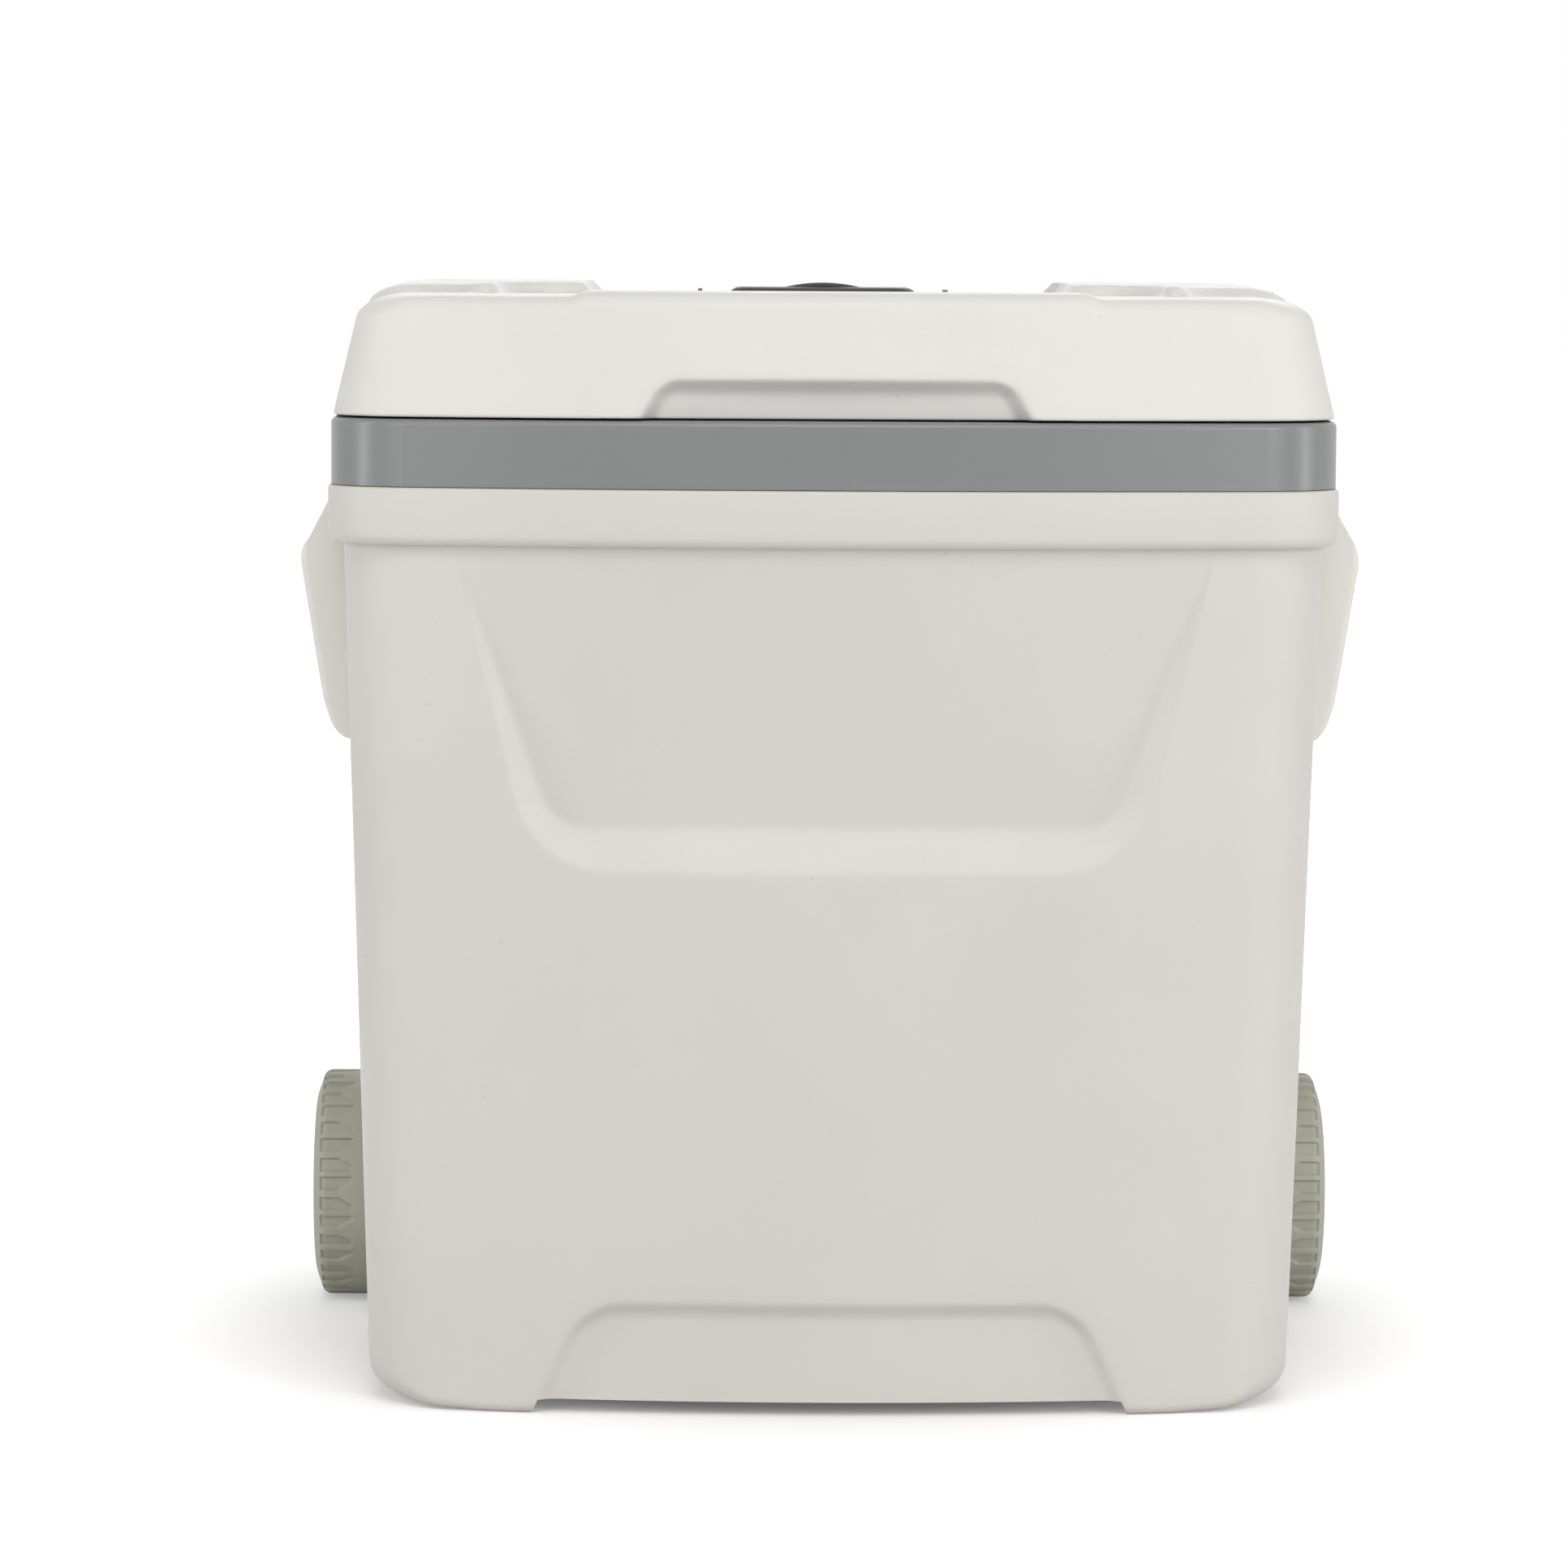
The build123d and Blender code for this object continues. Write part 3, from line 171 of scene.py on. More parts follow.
class FinishNodes(Nodes):
    """A new material with its shader, and patterns on Object coordinates."""

    def __init__(self, name: str) -> None:
        """Start the material of a finish.

        Args:
            name: Name of the finish.
        """
        super().__init__(bpy.data.materials.new(f"{name}_finish"))
        self.shader = self.tree.nodes["Principled BSDF"]
        self.coords = self.add("TexCoord", {}).outputs["Object"]

    def noise(self, scale: float, detail: float, stretch: Triple = (1, 1, 1)) -> Socket:
        """Add a noise pattern.

        Args:
            scale: Cells per metre.
            detail: Octaves of finer noise.
            stretch: Scale of the pattern along each axis.

        Returns:
            The pattern's value, around 0.5.
        """
        place = self.add("Mapping", {"Vector": self.coords, "Scale": stretch}).outputs["Vector"]
        node = self.add("TexNoise", {"Vector": place, "Scale": scale, "Detail": detail})
        return node.outputs["Fac"]

    def shades(self, value: Socket, colour: Triple, dark: float, light: float) -> Socket:
        """Colour that goes from its dark to its light multiple as a noise rises."""
        return self.ramp(value, [(NOISE_LOW, tinted(colour, dark)), (NOISE_HIGH, tinted(colour, light))])

    def spread(self, value: Socket, low: float, high: float) -> Socket:
        """Map the usual span of a noise to a range."""
        limits = {"From Min": NOISE_LOW, "From Max": NOISE_HIGH, "To Min": low, "To Max": high}
        return self.add("MapRange", {"Value": value, **limits}).outputs["Result"]

    def bump(self, height: Socket, strength: float, distance: float) -> Socket:
        """Normals of a fine relief with a strength from 0 to 1 and a depth in metres."""
        inputs = {"Height": height, "Strength": strength, "Distance": distance}
        return self.add("Bump", inputs).outputs["Normal"]


def tinted(colour: Triple, factor: float) -> Triple:
    """Linear colour made lighter or darker, kept under white."""
    return tuple(min(channel * factor, 1.0) for channel in colour)


# Finishes


@dataclass(frozen=True)
class MouldedPlastic:
    """Moulded plastic with a fine spark-eroded grain, faint flow mottling and a few dark specks."""

    name: str
    colour: Triple
    roughness: Point = (0.46, 0.58)
    mottle: float = 0.02
    grain: float = 1900.0
    relief: float = 0.10
    specks: float = 0.0
    specular: float = 0.4

    def material(self) -> None:
        """Build the material."""
        nodes = FinishNodes(self.name)
        flow = nodes.noise(scale=7.0, detail=4.0)
        base = nodes.shades(flow, self.colour, 1 - self.mottle, 1 + self.mottle)
        if self.specks:
            dark = (1 - self.specks,) * 3
            dots = nodes.ramp(nodes.noise(scale=260.0, detail=1.0), [(0.80, (1, 1, 1)), (0.825, dark)])
            both = {"Factor": 1.0, 6: base, 7: dots}
            base = nodes.add("Mix", both, data_type="RGBA", blend_type="MULTIPLY").outputs[2]
        scuff, grain = nodes.noise(scale=24.0, detail=6.0), nodes.noise(self.grain, detail=2.0)
        nodes.wire(nodes.shader, {"Base Color": base, "Specular IOR Level": self.specular,
                                  "Roughness": nodes.spread(scuff, *self.roughness),
                                  "Normal": nodes.bump(grain, self.relief, distance=0.0002)})


@dataclass(frozen=True)
class Rubber:
    """Matte rubber with a dusty bloom and a fine skin."""

    name: str
    colour: Triple
    roughness: Point = (0.58, 0.74)
    bloom: float = 0.10
    specular: float = 0.3

    def material(self) -> None:
        """Build the material."""
        nodes = FinishNodes(self.name)
        dust, skin = nodes.noise(scale=36.0, detail=5.0), nodes.noise(scale=1400.0, detail=3.0)
        base = nodes.shades(dust, self.colour, 1 - self.bloom, 1 + self.bloom / 2)
        nodes.wire(nodes.shader, {"Base Color": base, "Specular IOR Level": self.specular,
                                  "Roughness": nodes.spread(dust, *self.roughness),
                                  "Normal": nodes.bump(skin, strength=0.16, distance=0.0002)})


@dataclass(frozen=True)
class DrawnMetal:
    """Metal with fine drawing marks along one direction."""

    name: str
    colour: Triple
    roughness: Point
    grain: Grain

    def material(self) -> None:
        """Build the material."""
        nodes = FinishNodes(self.name)
        marks = nodes.noise(scale=900.0, detail=3.0, stretch=self.grain.value)
        base = nodes.shades(marks, self.colour, dark=0.92, light=1.05)
        nodes.wire(nodes.shader, {"Base Color": base, "Metallic": 1.0,
                                  "Roughness": nodes.spread(marks, *self.roughness),
                                  "Normal": nodes.bump(marks, strength=0.05, distance=0.0001)})


@dataclass(frozen=True)
class Foam:
    """Poured insulation with open cut cells, darker towards their pits with painted shade."""

    name: str
    colour: Triple

    def material(self) -> None:
        """Build the material."""
        nodes = FinishNodes(self.name)
        depth = nodes.add("TexVoronoi", {"Vector": nodes.coords, "Scale": 700.0}).outputs["Distance"]
        # Darker towards the pits of the cells: painted shade in their hollows.
        base = nodes.ramp(depth, [(0.1, tinted(self.colour, 0.8)), (0.6, self.colour)])
        relief = nodes.bump(depth, strength=0.4, distance=0.0006)
        nodes.wire(nodes.shader, {"Base Color": base, "Roughness": 0.9, "Normal": relief})


FINISHES = (
    MouldedPlastic("white_plastic", (0.596, 0.576, 0.544), specks=0.14),
    # The tub's white and the lid's are one plastic: the lid's copy is lighter and less warm, painted light
    # for the extra light that its upward-tilted faces catch from above.
    MouldedPlastic("lid_plastic", (0.660, 0.647, 0.618), specks=0.14),
    # The handles' plastic is a lighter copy of the white plastic: painted light that makes up for the shade
    # the body and rim cast on their end faces.
    MouldedPlastic("handle_plastic", (0.700, 0.682, 0.642)),
    MouldedPlastic("grey_plastic", (0.192, 0.196, 0.198), (0.285, 0.35), grain=2400.0, relief=0.03,
                   specular=0.5),
    Foam("foam", (0.78, 0.70, 0.48)),
    Rubber("tread", (0.40, 0.406, 0.338)),
    MouldedPlastic("hub_plastic", (0.19, 0.19, 0.185), (0.42, 0.55), 0.05, grain=1600.0, relief=0.12),
    MouldedPlastic("black_plastic", (0.024, 0.025, 0.025), (0.42, 0.56), 0.12, grain=1500.0, relief=0.16),
    MouldedPlastic("hinge_plastic", (0.66, 0.65, 0.62), (0.42, 0.54), grain=1700.0),
    DrawnMetal("steel", (0.56, 0.56, 0.55), (0.29, 0.42), Grain.ALONG_X),
    DrawnMetal("aluminium", (0.66, 0.66, 0.67), (0.285, 0.38), Grain.ALONG_Z),
    MouldedPlastic("drain_plastic", (0.53, 0.53, 0.51), (0.40, 0.52), 0.03, grain=1700.0),
    Rubber("seal_rubber", (0.022, 0.022, 0.022)),
)


# Shape functions


def smooth_step(value: float, low: float, high: float) -> float:
    """Soft step from 0 at the low value to 1 at the high one."""
    share = min(max((value - low) / (high - low), 0.0), 1.0)
    return share * share * (3 - 2 * share)


def scoop(value: float, reach: float, start: float = 0.0014) -> float:
    """Ease from 0 to 1 that starts steeply, rounded by the start, and is level from the reach on."""
    left = 1 - min((value + math.hypot(value, start)) / 2 / reach, 1.0)
    return 1 - left * left


def soft_min(first: float, second: float, blend: float) -> float:
    """The smaller of two numbers, rounded over a blend where they meet."""
    mix = max(blend - abs(first - second), 0.0) / blend
    return min(first, second) - mix * mix * blend / 4


def turns(count: int) -> list[float]:
    """Angles of a quarter turn in equal steps."""
    return [math.radians(90 * step / count) for step in range(count + 1)]


def quarter(radius: float, count: int) -> list[Point]:
    """Points of a quarter round: how far the sine and the cosine fall short of the radius."""
    return [(radius * (1 - math.sin(turn)), radius * (1 - math.cos(turn))) for turn in turns(count)]


def centre_of(node: str) -> list[float]:
    """Middle of a node's box."""
    return [(low + high) / 2 for low, high in zip(*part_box(node))]


def crossing(first: Vector, reach: float, second: Vector, other: float) -> Vector:
    """Front right crossing of two circles.

    Args:
        first: Centre of one circle.
        reach: Its radius.
        second: Centre of the other.
        other: Its radius.

    Returns:
        The crossing with the smaller Y.
    """
    gap = second - first
    length = gap.length
    along = (length**2 + reach**2 - other**2) / (2 * length)
    up = math.sqrt(max(reach**2 - along**2, 0.0))
    foot, normal = first + gap * (along / length), Vector((-gap.y, gap.x)) * (up / length)
    return min((foot + normal, foot - normal), key=lambda point: point.y)


def arc(centre: Vector, start: Vector, end: Vector, count: int) -> list[Vector]:
    """Points on the shorter arc between two points, without the end.

    Args:
        centre: Centre of the arc.
        start: First point.
        end: Where the arc ends.
        count: Number of points.

    Returns:
        The points.
    """
    ray = start - centre
    turn = (end - centre).angle_signed(ray)
    return [centre + Matrix.Rotation(turn * i / count, 2) @ ray for i in range(count)]


@dataclass(frozen=True)
class Columns:
    """How many steps an outline has along its front, corners, sides and rear."""

    front: int
    corner: int
    side: int
    rear_corner: int
    rear: int


@dataclass(frozen=True)
class Outline:
    """Plan of the cooler at one height: bowed front, slightly bowed sides, flat rear, rounded corners."""

    half: float
    front: float
    rear: float
    front_corner: float
    rear_corner: float
    front_radius: float = 1.050
    side_bow: float = 0.004
    least_corner: float = 0.003

    def inset(self, by: float) -> Outline:
        """The outline moved in by a distance."""
        corners = [max(radius - by, self.least_corner) for radius in (self.front_corner, self.rear_corner)]
        return Outline(self.half - by, self.front + by, self.rear - by, *corners)

    def points(self, columns: Columns) -> list[Point]:
        """Points round the outline, from the right end of the front by the rear back to it.

        Args:
            columns: Steps along each stretch.

        Returns:
            The points, as many for every outline.
        """
        big, bow = self.front_radius, self.side_bow
        edge = self.half - bow
        shoulder = self.front + big - math.sqrt(big**2 - edge**2)
        middle, span = (shoulder + self.rear) / 2, self.rear - shoulder
        flat = (span**2 / 4 + bow**2) / (2 * bow)
        nose, hip = Vector((0, self.front + big)), Vector((self.half - flat, middle))
        corner = crossing(nose, big - self.front_corner, hip, flat - self.front_corner)
        reach = flat - self.rear_corner
        rise = self.rear - self.rear_corner - middle
        heel = Vector((hip.x + math.sqrt(reach**2 - rise**2), self.rear - self.rear_corner))
        first = nose + (corner - nose).normalized() * big
        second = hip + (corner - hip).normalized() * flat
        third = hip + (heel - hip).normalized() * flat
        fourth = Vector((heel.x, self.rear))
        chain = arc(corner, first, second, columns.corner) + arc(hip, second, third, columns.side)
        chain += arc(heel, third, fourth, columns.rear_corner) + [fourth]
        back = [Vector((fourth.x * (1 - 2 * i / columns.rear), self.rear)) for i in range(1, columns.rear)]
        left = [Vector((-point.x, point.y)) for point in reversed(chain)]
        xs = [first.x * (2 * i / columns.front - 1) for i in range(1, columns.front)]
        face = [Vector((x, self.front + big - math.sqrt(big**2 - x**2))) for x in xs]
        return [(point.x, point.y) for point in chain + back + left + face]


@dataclass(frozen=True)
class Recess:
    """Recess with slanting sides that is narrow and closed at one end, with rounded corners there."""

    narrow: float
    wide: float
    height: float
    corner: float

    @property
    def slant(self) -> float:
        """Growth of the half width towards the open end."""
        return (self.wide - self.narrow) / self.height

    def inside(self, x: float, along: float) -> Point:
        """Find how far a place is inside the recess.

        Args:
            x: Place across.
            along: Distance from the closed end.

        Returns:
            The distance in, up to the corner's radius, and how far it faces the closed end, from 0 to 1.
        """
        side = (self.narrow + along * self.slant - abs(x)) / math.hypot(1, self.slant)
        across, ahead = max(self.corner - side, 0.0), max(self.corner - along, 0.0)
        length = math.hypot(across, ahead)
        return self.corner - length, (ahead / length) ** 2 if length else 0.5


# Meshes


def shade(data: bpy.types.Mesh, sharp: float) -> None:
    """Shade a mesh smooth between its sharp edges."""
    data.shade_smooth()
    data.set_sharp_from_angle(angle=math.radians(sharp))


def make_object(mesh: Solid, name: str = "cutter", sharp: float = 35.0) -> Piece:
    """Finish a mesh and put it in the scene.

    Args:
        mesh: The mesh, which is freed.
        name: Name of the piece.
        sharp: Edges above this angle in degrees stay sharp.

    Returns:
        The new object.
    """
    bmesh.ops.recalc_face_normals(mesh, faces=mesh.faces)
    data = bpy.data.meshes.new(name)
    mesh.to_mesh(data)
    mesh.free()
    shade(data, sharp)
    piece = bpy.data.objects.new(name, data)
    bpy.context.scene.collection.objects.link(piece)
    return piece


def lofted(rings: Sequence[Ring], close: bool = False) -> Solid:
    """Grid wrapped round a stack of rings.

    Args:
        rings: Rings of equal length, from the bottom up.
        close: Join the last ring to the first instead of capping both.

    Returns:
        A closed mesh.
    """
    around, rows = len(rings[0]), len(rings) - (0 if close else 1)
    mesh = bmesh.new()
    bmesh.ops.create_grid(mesh, x_segments=around, y_segments=rows, size=0.5)
    for vert in mesh.verts:
        column, row = round((vert.co.x + 0.5) * around), round((vert.co.y + 0.5) * rows)
        vert.co = rings[row % len(rings)][column % around]
    bmesh.ops.remove_doubles(mesh, verts=mesh.verts, dist=1e-7)
    bmesh.ops.holes_fill(mesh, edges=[edge for edge in mesh.edges if edge.is_boundary], sides=0)
    return mesh


def swept(points: Sequence[Triple], path: Triple) -> Solid:
    """Flat polygon run along a straight path.

    Args:
        points: Corners of the polygon.
        path: From its first place to its last.

    Returns:
        The closed solid.
    """
    mesh = bmesh.new()
    face = mesh.faces.new([mesh.verts.new(point) for point in points])
    moved = bmesh.ops.extrude_face_region(mesh, geom=[face])["geom"]
    verts = [item for item in moved if isinstance(item, bmesh.types.BMVert)]
    bmesh.ops.translate(mesh, vec=path, verts=verts)
    bmesh.ops.recalc_face_normals(mesh, faces=mesh.faces)
    return mesh


def soften(mesh: Solid, edges: list[bmesh.types.BMEdge], radius: float, steps: int) -> None:
    """Round some edges of a solid in a number of steps."""
    bmesh.ops.bevel(mesh, geom=edges, offset=radius, affect="EDGES", segments=steps, profile=0.5,
                    material=-1, clamp_overlap=True)


def block(low: Sequence[float], high: Sequence[float]) -> Piece:
    """Box between two corners, to cut with.

    Args:
        low: Lowest corner.
        high: Highest corner.

    Returns:
        The box.
    """
    mesh = bmesh.new()
    bmesh.ops.create_cube(mesh, size=1.0)
    bmesh.ops.scale(mesh, vec=[b - a for a, b in zip(low, high)], verts=mesh.verts)
    bmesh.ops.translate(mesh, vec=[(a + b) / 2 for a, b in zip(low, high)], verts=mesh.verts)
    return make_object(mesh)


def rod(start: Triple, length: float, radius: float) -> Piece:
    """Cylinder along X, to cut with.

    Args:
        start: Middle of its first end.
        length: Length.
        radius: Radius.

    Returns:
        The cylinder.
    """
    mesh = bmesh.new()
    bmesh.ops.create_cone(mesh, cap_ends=True, segments=96, radius1=radius, radius2=radius, depth=length)
    middle = Vector(start)
    middle.x += length / 2
    turn = Matrix.Rotation(math.pi / 2, 4, "Y")
    bmesh.ops.transform(mesh, matrix=Matrix.Translation(middle) @ turn, verts=mesh.verts)
    return make_object(mesh)


def carve(piece: Piece, cutters: Iterable[Piece], sharp: float = 35.0) -> None:
    """Cut a piece with solids and keep the result as its mesh.

    Args:
        piece: What is cut.
        cutters: Solids to take away; they are removed afterwards.
        sharp: Edges above this angle in degrees stay sharp.
    """
    cutters = list(cutters)
    for cutter in cutters:
        cut = piece.modifiers.new("cut", "BOOLEAN")
        cut.operation, cut.solver, cut.object = "DIFFERENCE", "MANIFOLD", cutter
    bpy.context.view_layer.update()
    graph = bpy.context.evaluated_depsgraph_get()
    result = bpy.data.meshes.new_from_object(piece.evaluated_get(graph))
    piece.modifiers.clear()
    old, piece.data = piece.data, result
    result.name = piece.name
    bpy.data.meshes.remove(old)
    for cutter in cutters:
        bpy.data.meshes.remove(cutter.data)
    clean = bmesh.new()
    clean.from_mesh(result)
    bmesh.ops.dissolve_degenerate(clean, edges=clean.edges, dist=1e-6)
    bmesh.ops.recalc_face_normals(clean, faces=clean.faces)
    clean.to_mesh(result)
    clean.free()
    shade(result, sharp)


def settle(piece: Piece, body: str, slot: str, node: str, finish: str = "") -> None:
    """Hand a new piece to the frame.

    Args:
        piece: The piece.
        body: Body that it rides on.
        slot: Material slot of the record.
        node: CAD node that it stands for.
        finish: Its finish where that isn't the slot's own.
    """
    piece.data.materials.clear()
    piece.data.materials.append(bpy.data.materials[f"{finish or slot}_finish"])
    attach(piece, body)
    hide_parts(node)
    LOG.info("%s: %d faces, on %s", piece.name, len(piece.data.polygons), body)


# Tub


@dataclass
class TubShell:
    """White outer shell: drafted body, rim, front panel, arch between the feet and the cuts behind."""

    overhang: float = 0.0075
    rim_height: float = 0.028
    rim_round: float = 0.0055
    rim_edge: float = 0.002
    rim_corner: float = 0.002
    rim_gap: float = 0.0015
    draft: float = math.tan(math.radians(1.67))
    corner: float = 0.046
    rear_corner: float = 0.040
    side_round: float = 0.016
    front_round: float = 0.005
    panel_area: Recess = Recess(0.146, 0.184, 0.157, 0.035)
    panel_bevel: float = 0.0205
    panel_side_bevel: float = 0.0145
    panel_depth: float = 0.010
    panel_lead: float = 0.0003
    panel_blend: float = 0.0012
    arch_area: Recess = Recess(0.121, 0.146, 0.055, 0.018)
    arch_depth: float = 0.006
    arch_scoop: float = 0.008
    relief_margin: float = 0.010
    relief_gap: float = 0.100
    foot_height: float = 0.0065
    foot_under: float = 0.02
    foot_flat: float = 0.169
    foot_slope: float = math.tan(math.radians(3.5))
    foot_fade: float = 0.06
    probe: float = 0.002
    low_band: float = 0.034
    columns: Columns = Columns(320, 14, 16, 10, 24)
    liner_plan: Outline = Outline(0.2185, -0.1895, 0.1465, 0.036, 0.036)
    liner_gap: float = 0.0015
    well_gap: float = 0.007
    well_side: float = 0.0045
    well_depth: float = 0.2
    clip_room: Point = (0.034, 0.019)
    axle_fit: float = 0.0003
    guide_fit: float = 0.00015
    dish_depth: float = 0.005
    dish_radius: float = 0.024
    bore_start: float = 0.15
    bore_radius: float = 0.00915
    drain_run: float = 0.1

    def __post_init__(self) -> None:
        """Read the outer sizes from the frame."""
        low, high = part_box("outer_shell")
        corners = self.corner + self.rim_corner, self.rear_corner + self.rim_corner
        self.rim = Outline(high[0], low[1], high[1], *corners)
        self.top = high[2]
        self.rim_bottom = self.top - self.rim_height

    def body(self, z: float) -> Outline:
        """Outline of the drafted body at a height."""
        drop = (self.rim_bottom - z) * self.draft
        return Outline(self.rim.half - self.overhang - drop, self.rim.front + self.overhang + drop,
                       self.rim.rear - self.overhang, self.corner, self.rear_corner)

    def panel(self, x: float, z: float) -> float:
        """Depth of the front panel, which grows from nothing under the rim.

        Args:
            x: Place across the front.
            z: Height.

        Returns:
            Depth behind the drafted face.
        """
        bottom = self.rim_bottom - self.panel_area.height
        inside, facing = self.panel_area.inside(x, z - bottom)
        slope = self.panel_depth * ((1 - facing) / self.panel_side_bevel + facing / self.panel_bevel)
        floor = self.panel_depth * (self.rim_bottom - z) / (self.panel_area.height - self.panel_bevel)
        return max(soft_min(floor, inside * slope + self.panel_lead, self.panel_blend), 0.0)

    def arch(self, x: float, z: float) -> float:
        """Depth of the shallow arch between the feet, behind the drafted face."""
        inside, _ = self.arch_area.inside(x, self.arch_area.height - z)
        return self.arch_depth * scoop(inside, self.arch_scoop)

    def lifted(self, x: float, y: float, z: float) -> Vector:
        """Point of the shell, raised where the feet slope up to the sides."""
        lift = max(abs(x) - self.foot_flat, 0.0) * self.foot_slope * max(1 - z / self.foot_fade, 0.0)
        return Vector((x, y, z + lift))

    def ring(self, outline: Outline, z: float) -> Ring:
        """One ring with the relief of the front and the slope under the feet.

        Args:
            outline: Plan of the ring.
            z: Its height before the feet rise.

        Returns:
            The ring's points.
        """
        points = []
        relief = self.panel if z > self.arch_area.height + self.relief_gap else self.arch
        for x, y in outline.points(self.columns):
            if y < 0 and abs(x) < self.panel_area.wide + self.relief_margin and z < self.rim_bottom:
                y += relief(x, z)
            points.append(self.lifted(x, y, z))
        return points

    def turned_ring(self, turn: float, share: float = 0.0) -> Ring:
        """Ring where the underside turns up, tight at the front and wide at the sides.

        Args:
            turn: Angle from the underside, in radians.
            share: Place between the turn's end and the first ring of the wall, from 0 to 1.

        Returns:
            The ring's points.
        """
        points, foot, margin = [], self.body(0), 0.0004
        outer, inner = (plan.points(self.columns) for plan in (foot, foot.inset(self.probe)))
        for (x, y), (ax, ay) in zip(outer, inner):
            wide = smooth_step(abs(ax - x) / self.probe, 0.25, 0.95)
            radius = self.front_round + (self.side_round - self.front_round) * wide
            z = radius * (1 - math.cos(turn)) + (self.side_round + margin - radius) * share
            inset = (radius * (1 - math.sin(turn)) - z * self.draft) / self.probe
            x, y = x + (ax - x) * inset, y + (ay - y) * inset
            if y < 0:
                y += self.arch(x, z)
            points.append(self.lifted(x, y, z))
        return points

    def heights(self) -> list[float]:
        """Space the wall's rings, densely where the relief turns.

        Returns:
            Their heights.
        """
        bottom, last = self.rim_bottom - self.panel_area.height, self.rim_bottom - self.rim_gap
        over_arch, under_panel, past_bevel, seam = 0.004, 0.006, 0.008, 0.0001
        stops = [self.side_round, self.low_band, self.arch_area.height + over_arch, bottom - under_panel,
                 bottom + self.panel_bevel + past_bevel, last]
        spans = zip(stops, stops[1:], (8, 15, 20, 24, 40))
        heights = [low + (high - low) * i / count for low, high, count in spans for i in range(count)]
        return heights[1:] + [last, self.rim_bottom - seam]

    def rings(self) -> list[Ring]:
        """Stack the shell's rings.

        Returns:
            The rings from the middle of the underside to the top of the rim.
        """
        rings = [self.ring(self.body(0).inset(inset), 0.0) for inset in (0.064, 0.052, 0.040, 0.028)]
        rings += [self.turned_ring(turn) for turn in turns(7)]
        rings += [self.turned_ring(math.pi / 2, share) for share in (0.2, 0.4, 0.6, 0.8)]
        rings += [self.ring(self.body(z), z) for z in self.heights()]
        for inset, rise in quarter(self.rim_round, 7):
            rings.append(self.ring(self.rim.inset(inset), self.rim_bottom + rise))
        for drop, inset in quarter(self.rim_edge, 4):
            rings.append(self.ring(self.rim.inset(inset), self.top - drop))
        return rings

    def hollow(self) -> Piece:
        """Make room for the liner.

        Returns:
            The cutter.
        """
        low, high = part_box("inner_liner")
        plan, margin, rings = self.liner_plan, 0.01, []
        for z in (low[2] - self.liner_gap, self.top + margin):
            drop = (high[2] - z) * self.draft
            level = replace(plan, half=plan.half - drop, front=plan.front + drop)
            rings.append([Vector((x, y, z)) for x, y in level.points(Columns(24, 8, 8, 8, 8))])
        return make_object(lofted(rings))

    def wheel_well(self, side: Side) -> Piece:
        """Pocket beside one wheel, open to the rear and below, to cut with.

        Args:
            side: Which wheel.

        Returns:
            The cutter.
        """
        node = f"tyre_{side.suffix}"
        low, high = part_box(node)
        _, y, z = centre_of(node)
        radius = (high[2] - low[2]) / 2 + self.well_gap
        near = min(abs(low[0]), abs(high[0])) - self.well_side
        rim = [(y - radius * math.sin(turn), z + radius * math.cos(turn))
               for turn in (math.pi * i / 48 for i in range(49))]
        profile = [(OUTSIDE, z + radius)] + rim + [(OUTSIDE, z - radius)]
        points = [(side.value * near, *point) for point in profile]
        return make_object(swept(points, (side.value * self.well_depth, 0, 0)))

    def foot_cut(self) -> Piece:
        """Open the gap between the feet.

        Returns:
            The cutter.
        """
        low, high = -self.foot_under, self.foot_height
        far, near = (self.arch_area.wide - z * self.arch_area.slant for z in (low, high))
        corners = [(-far, low), (far, low), (near, high), (-near, high)]
        return make_object(swept([(x, -OUTSIDE, z) for x, z in corners], (0, 2 * OUTSIDE, 0)))

    def axle_cuts(self) -> list[Piece]:
        """Make room for the axle and its clips, open below.

        Returns:
            The cutters.
        """
        low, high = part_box("axle")
        _, y, z = centre_of("axle")
        bore = (high[2] - low[2]) / 2 + self.axle_fit
        front, under = self.clip_room
        return [block((-OUTSIDE, y - front, BELOW), (OUTSIDE, OUTSIDE, z - under)),
                block((-OUTSIDE, y - bore, BELOW), (OUTSIDE, y + bore, z)),
                rod((-OUTSIDE, y, z), 2 * OUTSIDE, bore)]

    def guide_cut(self) -> Piece:
        """Channel for the tow handle, open to the rear and above, to cut with."""
        low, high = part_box("guide_lower")
        return block([value - self.guide_fit for value in low], (high[0] + self.guide_fit, OUTSIDE, ABOVE))

    def drain_cuts(self) -> list[Piece]:
        """Sink a dish and a bore for the drain.

        Returns:
            The cutters.
        """
        _, y, z = centre_of("drain_fitting")
        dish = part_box("drain_fitting")[1][0] - self.dish_depth
        return [rod((x, y, z), self.drain_run, radius)
                for x, radius in ((dish, self.dish_radius), (self.bore_start, self.bore_radius))]

    def build(self) -> Piece:
        """Model the shell and cut it.

        Returns:
            The shell.
        """
        shell = make_object(lofted(self.rings()), "tub_shell")
        cutters = [self.wheel_well(side) for side in Side] + [self.foot_cut()]
        cutters += self.axle_cuts() + [self.guide_cut()] + self.drain_cuts() + [self.hollow()]
        carve(shell, cutters)
        return shell

    def dress(self, piece: Piece) -> None:
        """Give the shell its finish and its place in the frame."""
        settle(piece, "tub", "white_plastic", "outer_shell")


# Lid


